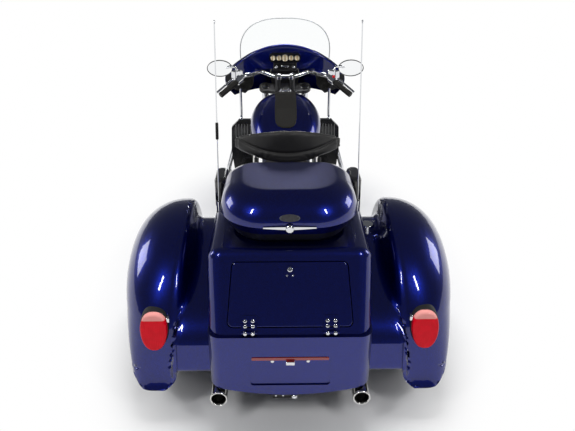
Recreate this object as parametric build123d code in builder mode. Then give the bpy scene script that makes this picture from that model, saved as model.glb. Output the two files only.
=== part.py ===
from build123d import *
import os
from math import cos, radians, sin, tan

# Motor trike: touring motorcycle front end with a two-wheeled rear body.
# Millimetres. +X is the rider's right, +Y forward, +Z up.
# The origin is on the floor below the middle of the bounding box.

os.makedirs("parts", exist_ok=True)

# Running gear
WHEELBASE = 1740
BODY_HALF_W = 335
REAR_TRACK = 2 * (BODY_HALF_W + 240)
REAR_OVERHANG = 620
FRONT_TYRE_R = 323
FRONT_TYRE_W = 150
FRONT_RIM_R = FRONT_TYRE_R - 120
REAR_TYRE_R = 324
REAR_TYRE_W = 205
REAR_RIM_R = REAR_TYRE_R - 134
RAKE = 29.2
TRAIL = 147
FIT = 0.3

OVERALL_LENGTH = REAR_OVERHANG + WHEELBASE + FRONT_TYRE_R
RA = -OVERALL_LENGTH / 2 + REAR_OVERHANG
FA = RA + WHEELBASE
WHEEL_X = REAR_TRACK / 2

# Rear body
BODY_FRONT_Y = RA + 170
BODY_WALL = 8
DECK_Z = 800
DOOR_TOP_Z = 757
DOOR_BOTTOM_Z = 516
SILL_Z = 487
BODY_REAR_Y = RA - 605
BODY_LOW_Z = 442
FENDER_X_OUT = WHEEL_X + 167
FENDER_WALL = 7
TAIL_X = WHEEL_X - 18
TAIL_INNER_X = TAIL_X - 79
VALANCE_Z = 386

# Frame tubes
TUBE_R = 19
RAIL_R = 16
RAIL_X = 150
SEAT_RAIL_R = 20
SEAT_RAIL_X = 110
LOWER_RAIL_Z = 185
SEAT_RAIL_Z = 645
REAR_RAIL_Z = REAR_TYRE_R + 96
BOOT_FLOOR_Z = REAR_RAIL_Z + TUBE_R + FIT

# Engine
ENGINE_Y = FA - 720
CRANK_Z = 370
BANK_ANGLE = 35
DECK_R = 120
BARREL_H = 150
HEAD_H = 55
ENGINE_HALF_W = 150

# Steering
FORK_X = 128
LEG_R = 31
LOWER_CLAMP_S = 470
UPPER_CLAMP_S = 672
BAR_Z = 1045
DASH_Y = FA - 360
DASH_T = 14

# Top box
BOX_FRONT_Y = RA + 48
BOX_REAR_Y = RA - 428
BOX_FLOOR_Z = 814
SEAM_Z = 888
LID_TOP_Z = 1008
POD_X = 308
AERIAL_X = 314
AERIAL_TOP_Z = 1618

# Seats and tank
SEAT_BASE_Z = SEAT_RAIL_Z + SEAT_RAIL_R + FIT
BACKREST_Y = RA + 120
BACKREST_Z = 925
TANK_REAR_Y = FA - 940

# Handlebar
MIRROR_X = 393
MIRROR_Y = FA - 620
MIRROR_Z = 1142
FENDER_LEAD = 35


def save(part, name):
    part.label = name
    export_step(part, f"parts/{name}.step")


def both_sides(part, name):
    save(part, f"{name}_right")
    save(mirror(part, about=Plane.YZ), f"{name}_left")


def pair(part, name):
    """One node that holds a piece and its mirror image."""
    with BuildPart() as two:
        add(part)
        mirror(part, about=Plane.YZ)
    save(two.part, name)


def tube(points, radius, bend=60):
    with BuildPart() as piece:
        with BuildLine() as path:
            if len(points) > 2:
                FilletPolyline(*points, radius=bend)
            else:
                Line(*points)
        with BuildSketch(Plane(origin=path.line @ 0, z_dir=path.line % 0)):
            Circle(radius)
        sweep(path=path.line)
    return piece.part


def axis_y(z):
    """Y of the steering axis at height z."""
    return FA + TRAIL - z * tan(radians(RAKE))


def lathe_plane(x, y, z):
    """Sketch plane with X across the wheel and local Y along its radius."""
    return Plane(origin=(x, y, z), x_dir=(1, 0, 0), z_dir=(0, -1, 0))


# Wheels

def tyre(centre, radius, width, rim_r, tread, crown):
    bead = 0.36 * width
    with BuildPart() as piece:
        with BuildSketch(lathe_plane(*centre)):
            with BuildLine():
                Line((-bead, rim_r + 0.2), (bead, rim_r + 0.2))
                Line((bead, rim_r + 0.2), (bead, rim_r + 16))
                ThreePointArc((bead, rim_r + 16), (width / 2, rim_r + 0.55 * (radius - rim_r)),
                              (tread, radius - crown))
                ThreePointArc((tread, radius - crown), (0, radius), (-tread, radius - crown))
                ThreePointArc((-tread, radius - crown), (-width / 2, rim_r + 0.55 * (radius - rim_r)),
                              (-bead, rim_r + 16))
                Line((-bead, rim_r + 16), (-bead, rim_r + 0.2))
            make_face()
        revolve(axis=Axis(centre, (1, 0, 0)))
    return piece.part


def rim_barrel(bead, rim_r):
    """Cross-section of a rim: lips outside the beads and a barrel below them."""
    return [(-bead - 9, rim_r - 12), (-bead - 9, rim_r + 12), (-bead - 0.3, rim_r + 12), (-bead - 0.3, rim_r),
            (bead + 0.3, rim_r), (bead + 0.3, rim_r + 12), (bead + 9, rim_r + 12), (bead + 9, rim_r - 12)]


rear_centre = (WHEEL_X, RA, REAR_TYRE_R)
rear_tyre = tyre(rear_centre, REAR_TYRE_R, REAR_TYRE_W, REAR_RIM_R, 0.42 * REAR_TYRE_W, 8)
both_sides(rear_tyre, "rear_tyre")

HOUSING_END_X = WHEEL_X - 70
STUB_R = 17
DISC_X = HOUSING_END_X + 14
REAR_DISC_R = REAR_RIM_R - 50
with BuildPart() as rear_rim:
    with BuildSketch(lathe_plane(*rear_centre)):
        with BuildLine():
            Polyline(*rim_barrel(0.36 * REAR_TYRE_W, REAR_RIM_R), close=True)
        make_face()
    revolve(axis=Axis(rear_centre, (1, 0, 0)))
    with BuildSketch(lathe_plane(*rear_centre)):
        with BuildLine():
            Polyline((44, 0), (44, 40), (36, 70), (36, REAR_RIM_R - 6), (16, REAR_RIM_R - 6), (12, 60),
                     (-40, 55), (-46, 42), (-69.5, 42), (-69.5, STUB_R), (-125, STUB_R), (-125, 0), close=True)
        make_face()
    revolve(axis=Axis(rear_centre, (1, 0, 0)))
    with BuildSketch(Plane(origin=(WHEEL_X + 8, RA, REAR_TYRE_R), x_dir=(0, 1, 0), z_dir=(1, 0, 0))) as windows:
        with PolarLocations(REAR_RIM_R - 68, 5, start_angle=90):
            Trapezoid(REAR_RIM_R - 90, REAR_RIM_R - 114, 68, rotation=90)
        fillet(windows.vertices(), 14)
    extrude(amount=50, mode=Mode.SUBTRACT)

with BuildPart() as rear_disc:
    with BuildSketch(Plane(origin=(DISC_X, RA, REAR_TYRE_R), z_dir=(1, 0, 0))):
        Circle(REAR_DISC_R)
        Circle(42 + FIT, mode=Mode.SUBTRACT)
    extrude(amount=8)
both_sides(Compound(children=[rear_rim.part.solid(), rear_disc.part.solid()]), "rear_rim")

front_centre = (0, FA, FRONT_TYRE_R)
front_tyre = tyre(front_centre, FRONT_TYRE_R, FRONT_TYRE_W, FRONT_RIM_R, 0.36 * FRONT_TYRE_W, 26)
save(front_tyre, "front_tyre")

AXLE_R = 12
FRONT_DISC_X = 81
with BuildPart() as front_rim:
    with BuildSketch(lathe_plane(*front_centre)):
        with BuildLine():
            Polyline(*rim_barrel(0.36 * FRONT_TYRE_W, FRONT_RIM_R), close=True)
        make_face()
    revolve(axis=Axis(front_centre, (1, 0, 0)))
    with BuildSketch(lathe_plane(*front_centre)):
        with BuildLine():
            Polyline((-FRONT_DISC_X, AXLE_R + FIT), (-FRONT_DISC_X, 46), (-30, 40), (-14, 52),
                     (-14, FRONT_RIM_R - 6), (14, FRONT_RIM_R - 6), (14, 52), (30, 40), (FRONT_DISC_X, 46),
                     (FRONT_DISC_X, AXLE_R + FIT), close=True)
        make_face()
    revolve(axis=Axis(front_centre, (1, 0, 0)))
    with BuildSketch(Plane(origin=(-40, FA, FRONT_TYRE_R), x_dir=(0, 1, 0), z_dir=(1, 0, 0))) as windows:
        with PolarLocations(FRONT_RIM_R - 81, 7, start_angle=90):
            Trapezoid(FRONT_RIM_R - 119, FRONT_RIM_R - 99, 78, rotation=90)
        fillet(windows.vertices(), 12)
    extrude(amount=80, mode=Mode.SUBTRACT)
save(front_rim.part, "front_rim")

with BuildPart() as front_discs:
    with BuildSketch(Plane(origin=(FRONT_DISC_X + 0.2, FA, FRONT_TYRE_R), z_dir=(1, 0, 0))):
        Circle(148)
        Circle(36, mode=Mode.SUBTRACT)
    extrude(amount=5)
    mirror(about=Plane.YZ)
save(front_discs.part, "front_discs")

# Frame: backbone, cradle, seat rails and rear rails, with the steering head

stem_dir = (0, -sin(radians(RAKE)), cos(radians(RAKE)))
upper_clamp_z = FRONT_TYRE_R + UPPER_CLAMP_S * cos(radians(RAKE))


def fork_point(x, s):
    """Point on a fork leg's axis, s above the front axle along the rake."""
    return (x, FA - s * sin(radians(RAKE)), FRONT_TYRE_R + s * cos(radians(RAKE)))


# The stem axis runs beside the fork legs, this far behind them
FORK_OFFSET = (FA - axis_y(FRONT_TYRE_R)) * cos(radians(RAKE))


def stem_point(s):
    shift = s + (FA - axis_y(FRONT_TYRE_R)) * sin(radians(RAKE))
    y0 = axis_y(FRONT_TYRE_R)
    return (0, y0 - shift * sin(radians(RAKE)), FRONT_TYRE_R + shift * cos(radians(RAKE)))


HEAD_R = 33
STEM_R = 24
CLAMP_T = 28
HEAD_LOW_S = LOWER_CLAMP_S + CLAMP_T + 0.5
HEAD_HIGH_S = UPPER_CLAMP_S - 0.5
head_mid = stem_point((HEAD_LOW_S + HEAD_HIGH_S) / 2)
BACKBONE_R = 25
backbone_points = [(0, head_mid[1], head_mid[2]), (0, FA - 860, 748), (0, FA - 1000, SEAT_RAIL_Z)]
backbone = tube(backbone_points, BACKBONE_R, 120)

with BuildPart() as frame:
    add(backbone)
    with BuildSketch(Plane(origin=stem_point(HEAD_LOW_S), z_dir=stem_dir)):
        Circle(HEAD_R)
    extrude(amount=HEAD_HIGH_S - HEAD_LOW_S)
    for side in (-1, 1):
        cradle = [(side * 26, head_mid[1] - 24, head_mid[2] - 22), (side * RAIL_X, FA - 440, 330),
                  (side * RAIL_X, FA - 500, LOWER_RAIL_Z), (side * RAIL_X, RA + 640, LOWER_RAIL_Z),
                  (side * RAIL_X, RA + 580, REAR_RAIL_Z), (side * SEAT_RAIL_X, RA + 560, SEAT_RAIL_Z)]
        add(tube(cradle, TUBE_R, 70))
        seat_rail = [(side * SEAT_RAIL_X, FA - 970, SEAT_RAIL_Z),
                     (side * SEAT_RAIL_X, BODY_FRONT_Y + 6, SEAT_RAIL_Z)]
        add(tube(seat_rail, SEAT_RAIL_R))
        add(tube([(side * RAIL_X, RA + 600, REAR_RAIL_Z - 6), (side * RAIL_X, RA - 520, REAR_RAIL_Z)], TUBE_R))
    for y, z, half in [(FA - 985, SEAT_RAIL_Z, SEAT_RAIL_X), (RA + 220, SEAT_RAIL_Z, SEAT_RAIL_X),
                       (RA + 740, LOWER_RAIL_Z, RAIL_X), (RA - 480, REAR_RAIL_Z, RAIL_X),
                       (RA + 470, REAR_RAIL_Z, RAIL_X)]:
        add(tube([(-half, y, z), (half, y, z)], RAIL_R))
    with BuildSketch(Plane(origin=stem_point(HEAD_LOW_S - 1), z_dir=stem_dir)):
        Circle(STEM_R + FIT)
    extrude(amount=HEAD_HIGH_S - HEAD_LOW_S + 2, mode=Mode.SUBTRACT)
save(frame.part, "frame")

# Engine: crankcase, two banks of finned cylinders, chrome covers

CASE_BOTTOM_Z = LOWER_RAIL_Z + TUBE_R + FIT


def bank_point(sign, along, across):
    """YZ point on a bank: along its axis from the crank and across it."""
    a = radians(BANK_ANGLE)
    return (ENGINE_Y + sign * (along * sin(a) + across * cos(a)), CRANK_Z + along * cos(a) - across * sin(a))


with BuildPart() as crankcase:
    with BuildSketch(Plane.YZ):
        with BuildLine():
            Polyline((ENGINE_Y - 230, CASE_BOTTOM_Z), (ENGINE_Y + 130, CASE_BOTTOM_Z),
                     (ENGINE_Y + 175, CRANK_Z - 70), bank_point(1, DECK_R, 75), bank_point(1, DECK_R, -75),
                     bank_point(-1, DECK_R, -75), bank_point(-1, DECK_R, 75), (ENGINE_Y - 265, CRANK_Z + 40),
                     (ENGINE_Y - 265, CRANK_Z - 100), close=True)
        make_face()
    extrude(amount=ENGINE_HALF_W - 10, both=True)
save(crankcase.part, "engine_crankcase")

FIN_PITCH = 17
with BuildPart() as cylinders:
    for sign in (-1, 1):
        a = radians(BANK_ANGLE)
        normal = (0, sign * sin(a), cos(a))
        y0, z0 = bank_point(sign, DECK_R, 0)
        with BuildSketch(Plane(origin=(0, y0, z0), x_dir=(1, 0, 0), z_dir=normal)):
            with Locations((-70, 0), (70, 0)):
                Circle(58)
            Rectangle(140, 70)
        extrude(amount=BARREL_H)
        for i in range(int(BARREL_H / FIN_PITCH)):
            y1, z1 = bank_point(sign, DECK_R + 6 + i * FIN_PITCH, 0)
            with BuildSketch(Plane(origin=(0, y1, z1), x_dir=(1, 0, 0), z_dir=normal)):
                RectangleRounded(278, 140, 40)
            extrude(amount=5)
        y2, z2 = bank_point(sign, DECK_R + BARREL_H, 0)
        with BuildSketch(Plane(origin=(0, y2, z2), x_dir=(1, 0, 0), z_dir=normal)):
            RectangleRounded(284, 148, 30)
        extrude(amount=HEAD_H)
save(cylinders.part, "engine_cylinders")

COVER_X = ENGINE_HALF_W - 10
with BuildPart() as covers:
    for dy, dz, radius, depth in [(0, 0, 100, 46), (-172, -20, 64, 34)]:
        with BuildSketch(Plane(origin=(COVER_X, ENGINE_Y + dy, CRANK_Z + dz), z_dir=(1, 0, 0))):
            Circle(radius)
        extrude(amount=depth)
    fillet(covers.edges().filter_by(lambda e: e.center().X > COVER_X + 20), 14)
    mirror(about=Plane.YZ)
save(covers.part, "engine_covers")

RAD_TILT = 13
with BuildPart() as radiator:
    r = radians(RAD_TILT)
    with BuildSketch(Plane(origin=(0, FA - 442, 480), x_dir=(1, 0, 0), z_dir=(0, cos(r), -sin(r)))):
        Rectangle(300, 270)
    extrude(amount=18, both=True)
    add(frame.part, mode=Mode.SUBTRACT)
save(radiator.part, "radiator")

# Exhausts: a header and muffler each side, tip below the bumper

TIP_X = 300
TIP_Z = 178
with BuildPart() as exhaust:
    y0, z0 = bank_point(1, DECK_R + BARREL_H + 25, 20)
    add(tube([(142.5, y0, z0), (192, y0, z0), (205, y0 - 40, 225), (250, FA - 980, 200),
              (TIP_X, RA + 600, TIP_Z + 8)], 20, 45))
    add(tube([(TIP_X, RA + 610, TIP_Z + 8), (TIP_X, RA + 160, TIP_Z + 8)], 46))
    add(tube([(TIP_X, RA + 200, TIP_Z), (TIP_X, BODY_REAR_Y + 110, TIP_Z)], 26))
    add(tube([(TIP_X, BODY_REAR_Y + 120, TIP_Z), (TIP_X, RA - REAR_OVERHANG, TIP_Z)], 36))
    with BuildSketch(Plane(origin=(TIP_X, RA - REAR_OVERHANG, TIP_Z), z_dir=(0, 1, 0))):
        Circle(32)
    extrude(amount=100, mode=Mode.SUBTRACT)
pair(exhaust.part, "exhausts")

# Rear axle, swing arms, drive shaft and spring units

HOUSING_R = 38
with BuildPart() as housing:
    with BuildSketch(lathe_plane(0, RA, REAR_TYRE_R)):
        with BuildLine():
            Polyline((-HOUSING_END_X, 0), (-HOUSING_END_X, 58), (-HOUSING_END_X + 12, 58),
                     (-HOUSING_END_X + 12, HOUSING_R), (-130, HOUSING_R), (-70, 90), (-40, 104), (40, 104),
                     (70, 90), (130, HOUSING_R), (HOUSING_END_X - 12, HOUSING_R), (HOUSING_END_X - 12, 58),
                     (HOUSING_END_X, 58), (HOUSING_END_X, 0), close=True)
        make_face()
    revolve(axis=Axis((0, RA, REAR_TYRE_R), (1, 0, 0)))
    with BuildSketch(Plane(origin=(0, RA + 150, REAR_TYRE_R), z_dir=(0, -1, 0))):
        Circle(42)
    extrude(amount=120)
    for side in (-1, 1):
        with BuildSketch(Plane(origin=(side * HOUSING_END_X, RA, REAR_TYRE_R), z_dir=(-side, 0, 0))):
            Circle(STUB_R + FIT)
        extrude(amount=70, mode=Mode.SUBTRACT)
save(housing.part, "axle_housing")

with BuildPart() as calipers:
    with BuildSketch(Plane(origin=(HOUSING_END_X, RA, REAR_TYRE_R), z_dir=(1, 0, 0), x_dir=(0, 1, 0))):
        with Locations((45 - REAR_DISC_R, 60)):
            Rectangle(110, 100)
        Circle(58)
        Circle(46, mode=Mode.SUBTRACT)
        Circle(REAR_DISC_R + 32, mode=Mode.INTERSECT)
    extrude(amount=6)
    with BuildSketch(Plane(origin=(HOUSING_END_X, RA, REAR_TYRE_R), z_dir=(1, 0, 0), x_dir=(0, 1, 0))):
        with Locations((20 - REAR_DISC_R, 70)):
            Rectangle(70, 80)
        Circle(REAR_DISC_R - 30, mode=Mode.SUBTRACT)
        Circle(REAR_DISC_R + 32, mode=Mode.INTERSECT)
    extrude(amount=42)
    with BuildSketch(Plane(origin=(DISC_X - 5.5, RA, REAR_TYRE_R), z_dir=(1, 0, 0))):
        Circle(REAR_DISC_R + 6)
    extrude(amount=19, mode=Mode.SUBTRACT)
    mirror(about=Plane.YZ)
save(calipers.part, "rear_calipers")

ARM_X = 190
PIVOT_Y = RA + 552
PIVOT_Z = REAR_TYRE_R + 6
with BuildPart() as arms:
    for side in (-1, 1):
        with BuildSketch(Plane(origin=(side * ARM_X, 0, 0), z_dir=(1, 0, 0), x_dir=(0, 1, 0))):
            with BuildLine():
                Polyline((RA - 52, PIVOT_Z - 40), (RA - 52, PIVOT_Z + 20), (PIVOT_Y - 10, PIVOT_Z + 22),
                         (PIVOT_Y + 22, PIVOT_Z), (PIVOT_Y - 10, PIVOT_Z - 22), close=True)
            make_face()
        extrude(amount=18, both=True)
    add(tube([(-ARM_X, PIVOT_Y, PIVOT_Z), (ARM_X, PIVOT_Y, PIVOT_Z)], RAIL_R))
    add(housing.part, mode=Mode.SUBTRACT)
    add(frame.part, mode=Mode.SUBTRACT)
save(arms.part, "swing_arms")

shaft_front_y = ENGINE_Y - 265 - FIT
with BuildPart() as shaft:
    add(tube([(0, shaft_front_y, REAR_TYRE_R), (0, RA + 150 + FIT, REAR_TYRE_R)], 28))
    add(arms.part, mode=Mode.SUBTRACT)
    add(frame.part, mode=Mode.SUBTRACT)
save(shaft.part, "drive_shaft")

with BuildPart() as shocks:
    for side in (-1, 1):
        low = (side * ARM_X, RA + 160, PIVOT_Z + 22.5)
        high = (side * ARM_X, RA + 400, 600)
        add(tube([low, high], 12))
        add(tube([(side * ARM_X, RA + 190, 383), (side * ARM_X, RA + 370, 569)], 30))
        add(tube([(side * (SEAT_RAIL_X + 10), RA + 400, 610), (side * ARM_X, RA + 400, 600)], 9))
    add(frame.part, mode=Mode.SUBTRACT)
    add(arms.part, mode=Mode.SUBTRACT)
save(shocks.part, "spring_units")

# Fenders: one shell a side, from the wheel arch over its crown and down the inner flank to the body.
# It is lofted through planes that pass through the wheel axle.

WING_SECTIONS = [
    # angle from straight up towards the rear, then above the tyre's radius: crown and valley floor;
    # outer x, outer shoulder radius, radius where the outer wall ends, x where the inner roll starts,
    # roll radius, valley radius, steepness of the flank, inner edge x, radius where the inner edge ends
    (-104, 104, -24, FENDER_X_OUT - 18, 110, 300, WHEEL_X - 97, 26, 12, 85, BODY_HALF_W + 90, 240),
    (-62, 115, -2, FENDER_X_OUT, 215, 205, WHEEL_X - 97, 28, 22, 82, BODY_HALF_W + 50, 240),
    (-20, 121, 26, FENDER_X_OUT, 250, 180, WHEEL_X - 97, 30, 36, 78, BODY_HALF_W, 240),
    (22, 128, 2, FENDER_X_OUT, 250, 185, WHEEL_X - 95, 38, 48, 74, BODY_HALF_W, 240),
    (64, 154, 106, FENDER_X_OUT - 14, 205, 250, WHEEL_X - 65, 70, 70, 40, BODY_HALF_W, 300),
    (106, 250, 236, FENDER_X_OUT - 117, 60, 450, WHEEL_X - 70, 30, 60, 25, BODY_HALF_W, 450),
]
WHEEL_OPENING_R = REAR_TYRE_R - 24


def wing_loft(wall, drop, first_turn, last_turn):
    with BuildPart() as piece:
        for i, row in enumerate(WING_SECTIONS):
            angle, crown, floor, x_out, shoulder, lip, x_roll, roll, valley, steep, x_in, low = row
            turn = first_turn if i == 0 else last_turn if i == len(WING_SECTIONS) - 1 else 0
            a = radians(angle + turn)
            f = radians(steep)
            crown = crown + REAR_TYRE_R
            floor = floor + REAR_TYRE_R
            flank = (crown - floor - (roll + valley) * (1 - cos(f))) / sin(f)
            x_valley = x_roll - (roll + valley) * sin(f) - flank * cos(f)
            rolls = [(x_roll - (roll - wall) * sin(t), crown - roll + (roll - wall) * cos(t))
                     for t in (0, f / 2, f)]
            valleys = [(x_valley + (valley + wall) * sin(t), floor + valley - (valley + wall) * cos(t))
                       for t in (f, f / 2, 0)]
            right = x_out - wall
            top = crown - wall
            outer = shoulder - wall
            left = x_in + wall
            with BuildSketch(Plane(origin=(0, RA, REAR_TYRE_R), x_dir=(1, 0, 0), z_dir=(0, -cos(a), -sin(a)))):
                with BuildLine():
                    Line((left, low - drop), (left, floor - wall))
                    Line((left, floor - wall), valleys[2])
                    ThreePointArc(valleys[2], valleys[1], valleys[0])
                    Line(valleys[0], rolls[2])
                    ThreePointArc(rolls[2], rolls[1], rolls[0])
                    Line(rolls[0], (right - outer, top))
                    ThreePointArc((right - outer, top), (right - outer * 0.293, top - outer * 0.293),
                                  (right, top - outer))
                    Line((right, top - outer), (right, lip - drop))
                    Line((right, lip - drop), (left, low - drop))
                make_face()
        loft()
    return piece.part


wing_solid = wing_loft(0, 0, 0, 0)
wing_inside = wing_loft(FENDER_WALL, 40, -2, 2)

with BuildPart() as tail_wall:
    add(wing_solid)
    with BuildSketch(Plane.YZ.offset(TAIL_INNER_X)):
        with Locations((RA - 500, VALANCE_Z - 150)):
            Rectangle(300, 300)
    extrude(amount=FENDER_WALL, mode=Mode.INTERSECT)

with BuildPart() as wing:
    add(wing_solid)
    add(wing_inside, mode=Mode.SUBTRACT)
    with BuildSketch(Plane.XZ.offset(-(RA - 300))):
        with Locations(((BODY_HALF_W - 40 + TAIL_INNER_X) / 2, VALANCE_Z - 150)):
            Rectangle(TAIL_INNER_X - BODY_HALF_W + 40, 300)
    extrude(amount=400, mode=Mode.SUBTRACT)
    add(tail_wall.part)
    with BuildSketch(Plane.XZ.offset(-(RA - 380))):
        with Locations((TAIL_X, 190)):
            Rectangle(240, 120)
        with Locations((TAIL_X, 250)):
            Ellipse(72, 94, mode=Mode.SUBTRACT)
    extrude(amount=260, mode=Mode.SUBTRACT)
    with BuildSketch(Plane(origin=(WHEEL_X, RA, REAR_TYRE_R), z_dir=(1, 0, 0))):
        Circle(WHEEL_OPENING_R)
    extrude(amount=300, mode=Mode.SUBTRACT)

# Body shell: deck, sides and rear face with the boot doorway

door_dir = Vector(0, 110, DOOR_TOP_Z - 502).normalized()
door_out = Vector(0, -door_dir.Z, door_dir.Y)


def door_face_y(z):
    return RA - 580 + (z - 502) * 110 / 255


def body_profile(inset):
    """Side outline of the centre body, moved inwards by inset."""
    return [(BODY_FRONT_Y - inset, BODY_LOW_Z), (BODY_FRONT_Y - inset, DECK_Z - inset),
            (door_face_y(DECK_Z) + inset, DECK_Z - inset),
            (door_face_y(SILL_Z + FIT) + inset * 1.09, SILL_Z + FIT), (RA - 480, BODY_LOW_Z)]


BODY_CORNER_R = 62
with BuildPart() as body_block:
    with BuildSketch(Plane.YZ):
        with BuildLine():
            FilletPolyline(*body_profile(0), radius=[0, 50, 40, 0, 0], close=True)
        make_face()
    extrude(amount=BODY_HALF_W, both=True)
    side_edges = body_block.faces().filter_by(Axis.X).edges()
    fillet(side_edges.filter_by(lambda e: e.center().Z > BODY_LOW_Z + 20), BODY_CORNER_R)

with BuildPart() as boot_space:
    with BuildSketch(Plane.YZ):
        with BuildLine():
            FilletPolyline(*[(y, z - (20 if z < SILL_Z - 20 else 0)) for y, z in body_profile(BODY_WALL)],
                           radius=[0, 50 - BODY_WALL, 40 - BODY_WALL, 0, 0], close=True)
        make_face()
    extrude(amount=BODY_HALF_W - BODY_WALL, both=True)
    side_edges = boot_space.faces().filter_by(Axis.X).edges()
    fillet(side_edges.filter_by(lambda e: e.center().Z > BODY_LOW_Z + 20), BODY_CORNER_R - BODY_WALL)

with BuildPart() as body:
    add(body_block.part)
    add(boot_space.part, mode=Mode.SUBTRACT)
    door_mid_z = (DOOR_TOP_Z + DOOR_BOTTOM_Z) / 2
    door_plane = Plane(origin=(0, door_face_y(door_mid_z), door_mid_z), x_dir=(1, 0, 0), z_dir=door_out)
    door_h = (DOOR_TOP_Z - DOOR_BOTTOM_Z) / door_dir.Z
    with BuildSketch(door_plane) as doorway:
        Trapezoid(512, door_h + 6, 85)
        fillet(doorway.vertices(), 24)
    extrude(amount=40, both=True, mode=Mode.SUBTRACT)
save(body.part, "body_shell")

with BuildPart() as boot_tub:
    with BuildSketch(Plane.XY.offset(BOOT_FLOOR_Z)):
        with Locations((0, (BODY_FRONT_Y - 10 + door_face_y(460) + 30) / 2)):
            Rectangle(2 * (BODY_HALF_W - 24), BODY_FRONT_Y - 10 - door_face_y(460) - 30)
    extrude(amount=8)
    add(body.part, mode=Mode.SUBTRACT)
save(boot_tub.part, "boot_floor")

with BuildPart() as door:
    with BuildSketch(door_plane) as panel:
        Trapezoid(506, door_h, 85)
        fillet(panel.vertices(), 22)
    extrude(amount=-16)
    fillet(door.faces().sort_by(Axis((0, 0, 0), tuple(door_out)))[-1].edges(), 4)
save(door.part, "boot_door")

# Bumper: lower rear panel with the plate recess

BUMPER_WALL = 15
RECESS = 6
with BuildPart() as bumper:
    with BuildSketch(Plane.XY.offset(188)) as plan:
        with Locations((0, BODY_REAR_Y + 90)):
            Rectangle(2 * BODY_HALF_W, 180)
        fillet(plan.vertices().group_by(Axis.Y)[0], 55)
    extrude(amount=SILL_Z - 188)
    with BuildSketch(Plane.XY.offset(180)) as inside:
        with Locations((0, BODY_REAR_Y + 90 + BUMPER_WALL)):
            Rectangle(2 * BODY_HALF_W - 24, 180)
        fillet(inside.vertices().group_by(Axis.Y)[0], 43)
    extrude(amount=SILL_Z - 190, mode=Mode.SUBTRACT)
    with BuildSketch(Plane.XZ.offset(-BODY_REAR_Y - 300)):
        with BuildLine():
            half = BODY_HALF_W + 5
            ThreePointArc((-half, 240), (0, 188), (half, 240))
            Polyline((half, 240), (half, 100), (-half, 100), (-half, 240))
        make_face()
    extrude(amount=400, mode=Mode.SUBTRACT)
    with BuildSketch(Plane.XZ.offset(-BODY_REAR_Y)):
        with Locations((0, 315)):
            RectangleRounded(330, 150, 14)
    extrude(amount=-RECESS, mode=Mode.SUBTRACT)
    with BuildSketch(Plane.XZ.offset(-BODY_REAR_Y)):
        with Locations((-73, 365), (73, 365)):
            Circle(3.5)
    extrude(amount=-2 * BUMPER_WALL, mode=Mode.SUBTRACT)
    add(body.part, mode=Mode.SUBTRACT)
save(bumper.part, "bumper")

with BuildPart() as reflector:
    with BuildSketch(Plane.XZ.offset(-BODY_REAR_Y - RECESS)):
        with Locations((0, 380)):
            RectangleRounded(316, 13, 5)
    extrude(amount=RECESS + 2)
save(reflector.part, "plate_reflector")

# Fenders seated on the body, and the valance below each between tail and bumper

with BuildPart() as fender:
    add(wing.part)
    add(body_block.part, mode=Mode.SUBTRACT)
    add(bumper.part, mode=Mode.SUBTRACT)
fender_keep = fender.solids().sort_by(SortBy.VOLUME)[-1]
pair(fender_keep, "fenders")

with BuildPart() as valance:
    with BuildSketch(Plane.YZ.offset(BODY_HALF_W)):
        with BuildLine():
            FilletPolyline((RA - 420, VALANCE_Z), (RA - 506, VALANCE_Z), (RA - 540, 232), (RA - 440, 262),
                           radius=[0, 6, 24, 10], close=True)
        make_face()
        offset(amount=-8, mode=Mode.SUBTRACT)
    extrude(amount=TAIL_INNER_X - BODY_HALF_W)
    add(bumper.part, mode=Mode.SUBTRACT)
    add(wing.part, mode=Mode.SUBTRACT)
valance_keep = valance.solids().sort_by(SortBy.VOLUME)[-1]
pair(valance_keep, "quarter_panels")

CAP_Y = RA - 20
with BuildPart() as cap:
    with BuildSketch(Plane.XY.offset(600)):
        with Locations((BODY_HALF_W + 36, CAP_Y)):
            Circle(32)
    extrude(amount=90)
    fillet(cap.faces().sort_by(Axis.Z)[-1].edges(), 8)
    add(wing_solid, mode=Mode.SUBTRACT)
    add(body_block.part, mode=Mode.SUBTRACT)
cap_top = cap.solids().sort_by(Axis.Z)[-1]
save(cap_top, "filler_cap")

# Tail lamps: shield-shaped lens on the back of each fender

LAMP_X = WHEEL_X - 9
LAMP_Z = REAR_TYRE_R + 114
LAMP_BACK_Y = RA - REAR_TYRE_R - 184
with BuildPart() as lamp:
    with BuildSketch(Plane.XZ.offset(-(RA - 360))) as shield:
        with BuildLine():
            ThreePointArc((LAMP_X - 58, LAMP_Z + 52), (LAMP_X, LAMP_Z + 78), (LAMP_X + 58, LAMP_Z + 52))
            ThreePointArc((LAMP_X + 58, LAMP_Z + 52), (LAMP_X + 44, LAMP_Z - 28), (LAMP_X, LAMP_Z - 78))
            ThreePointArc((LAMP_X, LAMP_Z - 78), (LAMP_X - 44, LAMP_Z - 28), (LAMP_X - 58, LAMP_Z + 52))
        make_face()
        fillet(shield.vertices(), 14)
    extrude(amount=150)
    with BuildSketch(Plane.YZ.offset(LAMP_X - 90)):
        with BuildLine():
            Polyline((RA - 300, LAMP_Z - 98), (LAMP_BACK_Y - 24, LAMP_Z - 98), (LAMP_BACK_Y + 24, LAMP_Z + 92),
                     (RA - 300, LAMP_Z + 92), close=True)
        make_face()
    extrude(amount=180, mode=Mode.INTERSECT)
    add(wing_solid, mode=Mode.SUBTRACT)
lamp_outer = lamp.solids().sort_by(Axis.Y)[0]
pair(lamp_outer, "tail_lamps")

# Boot hinges and latch

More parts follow.
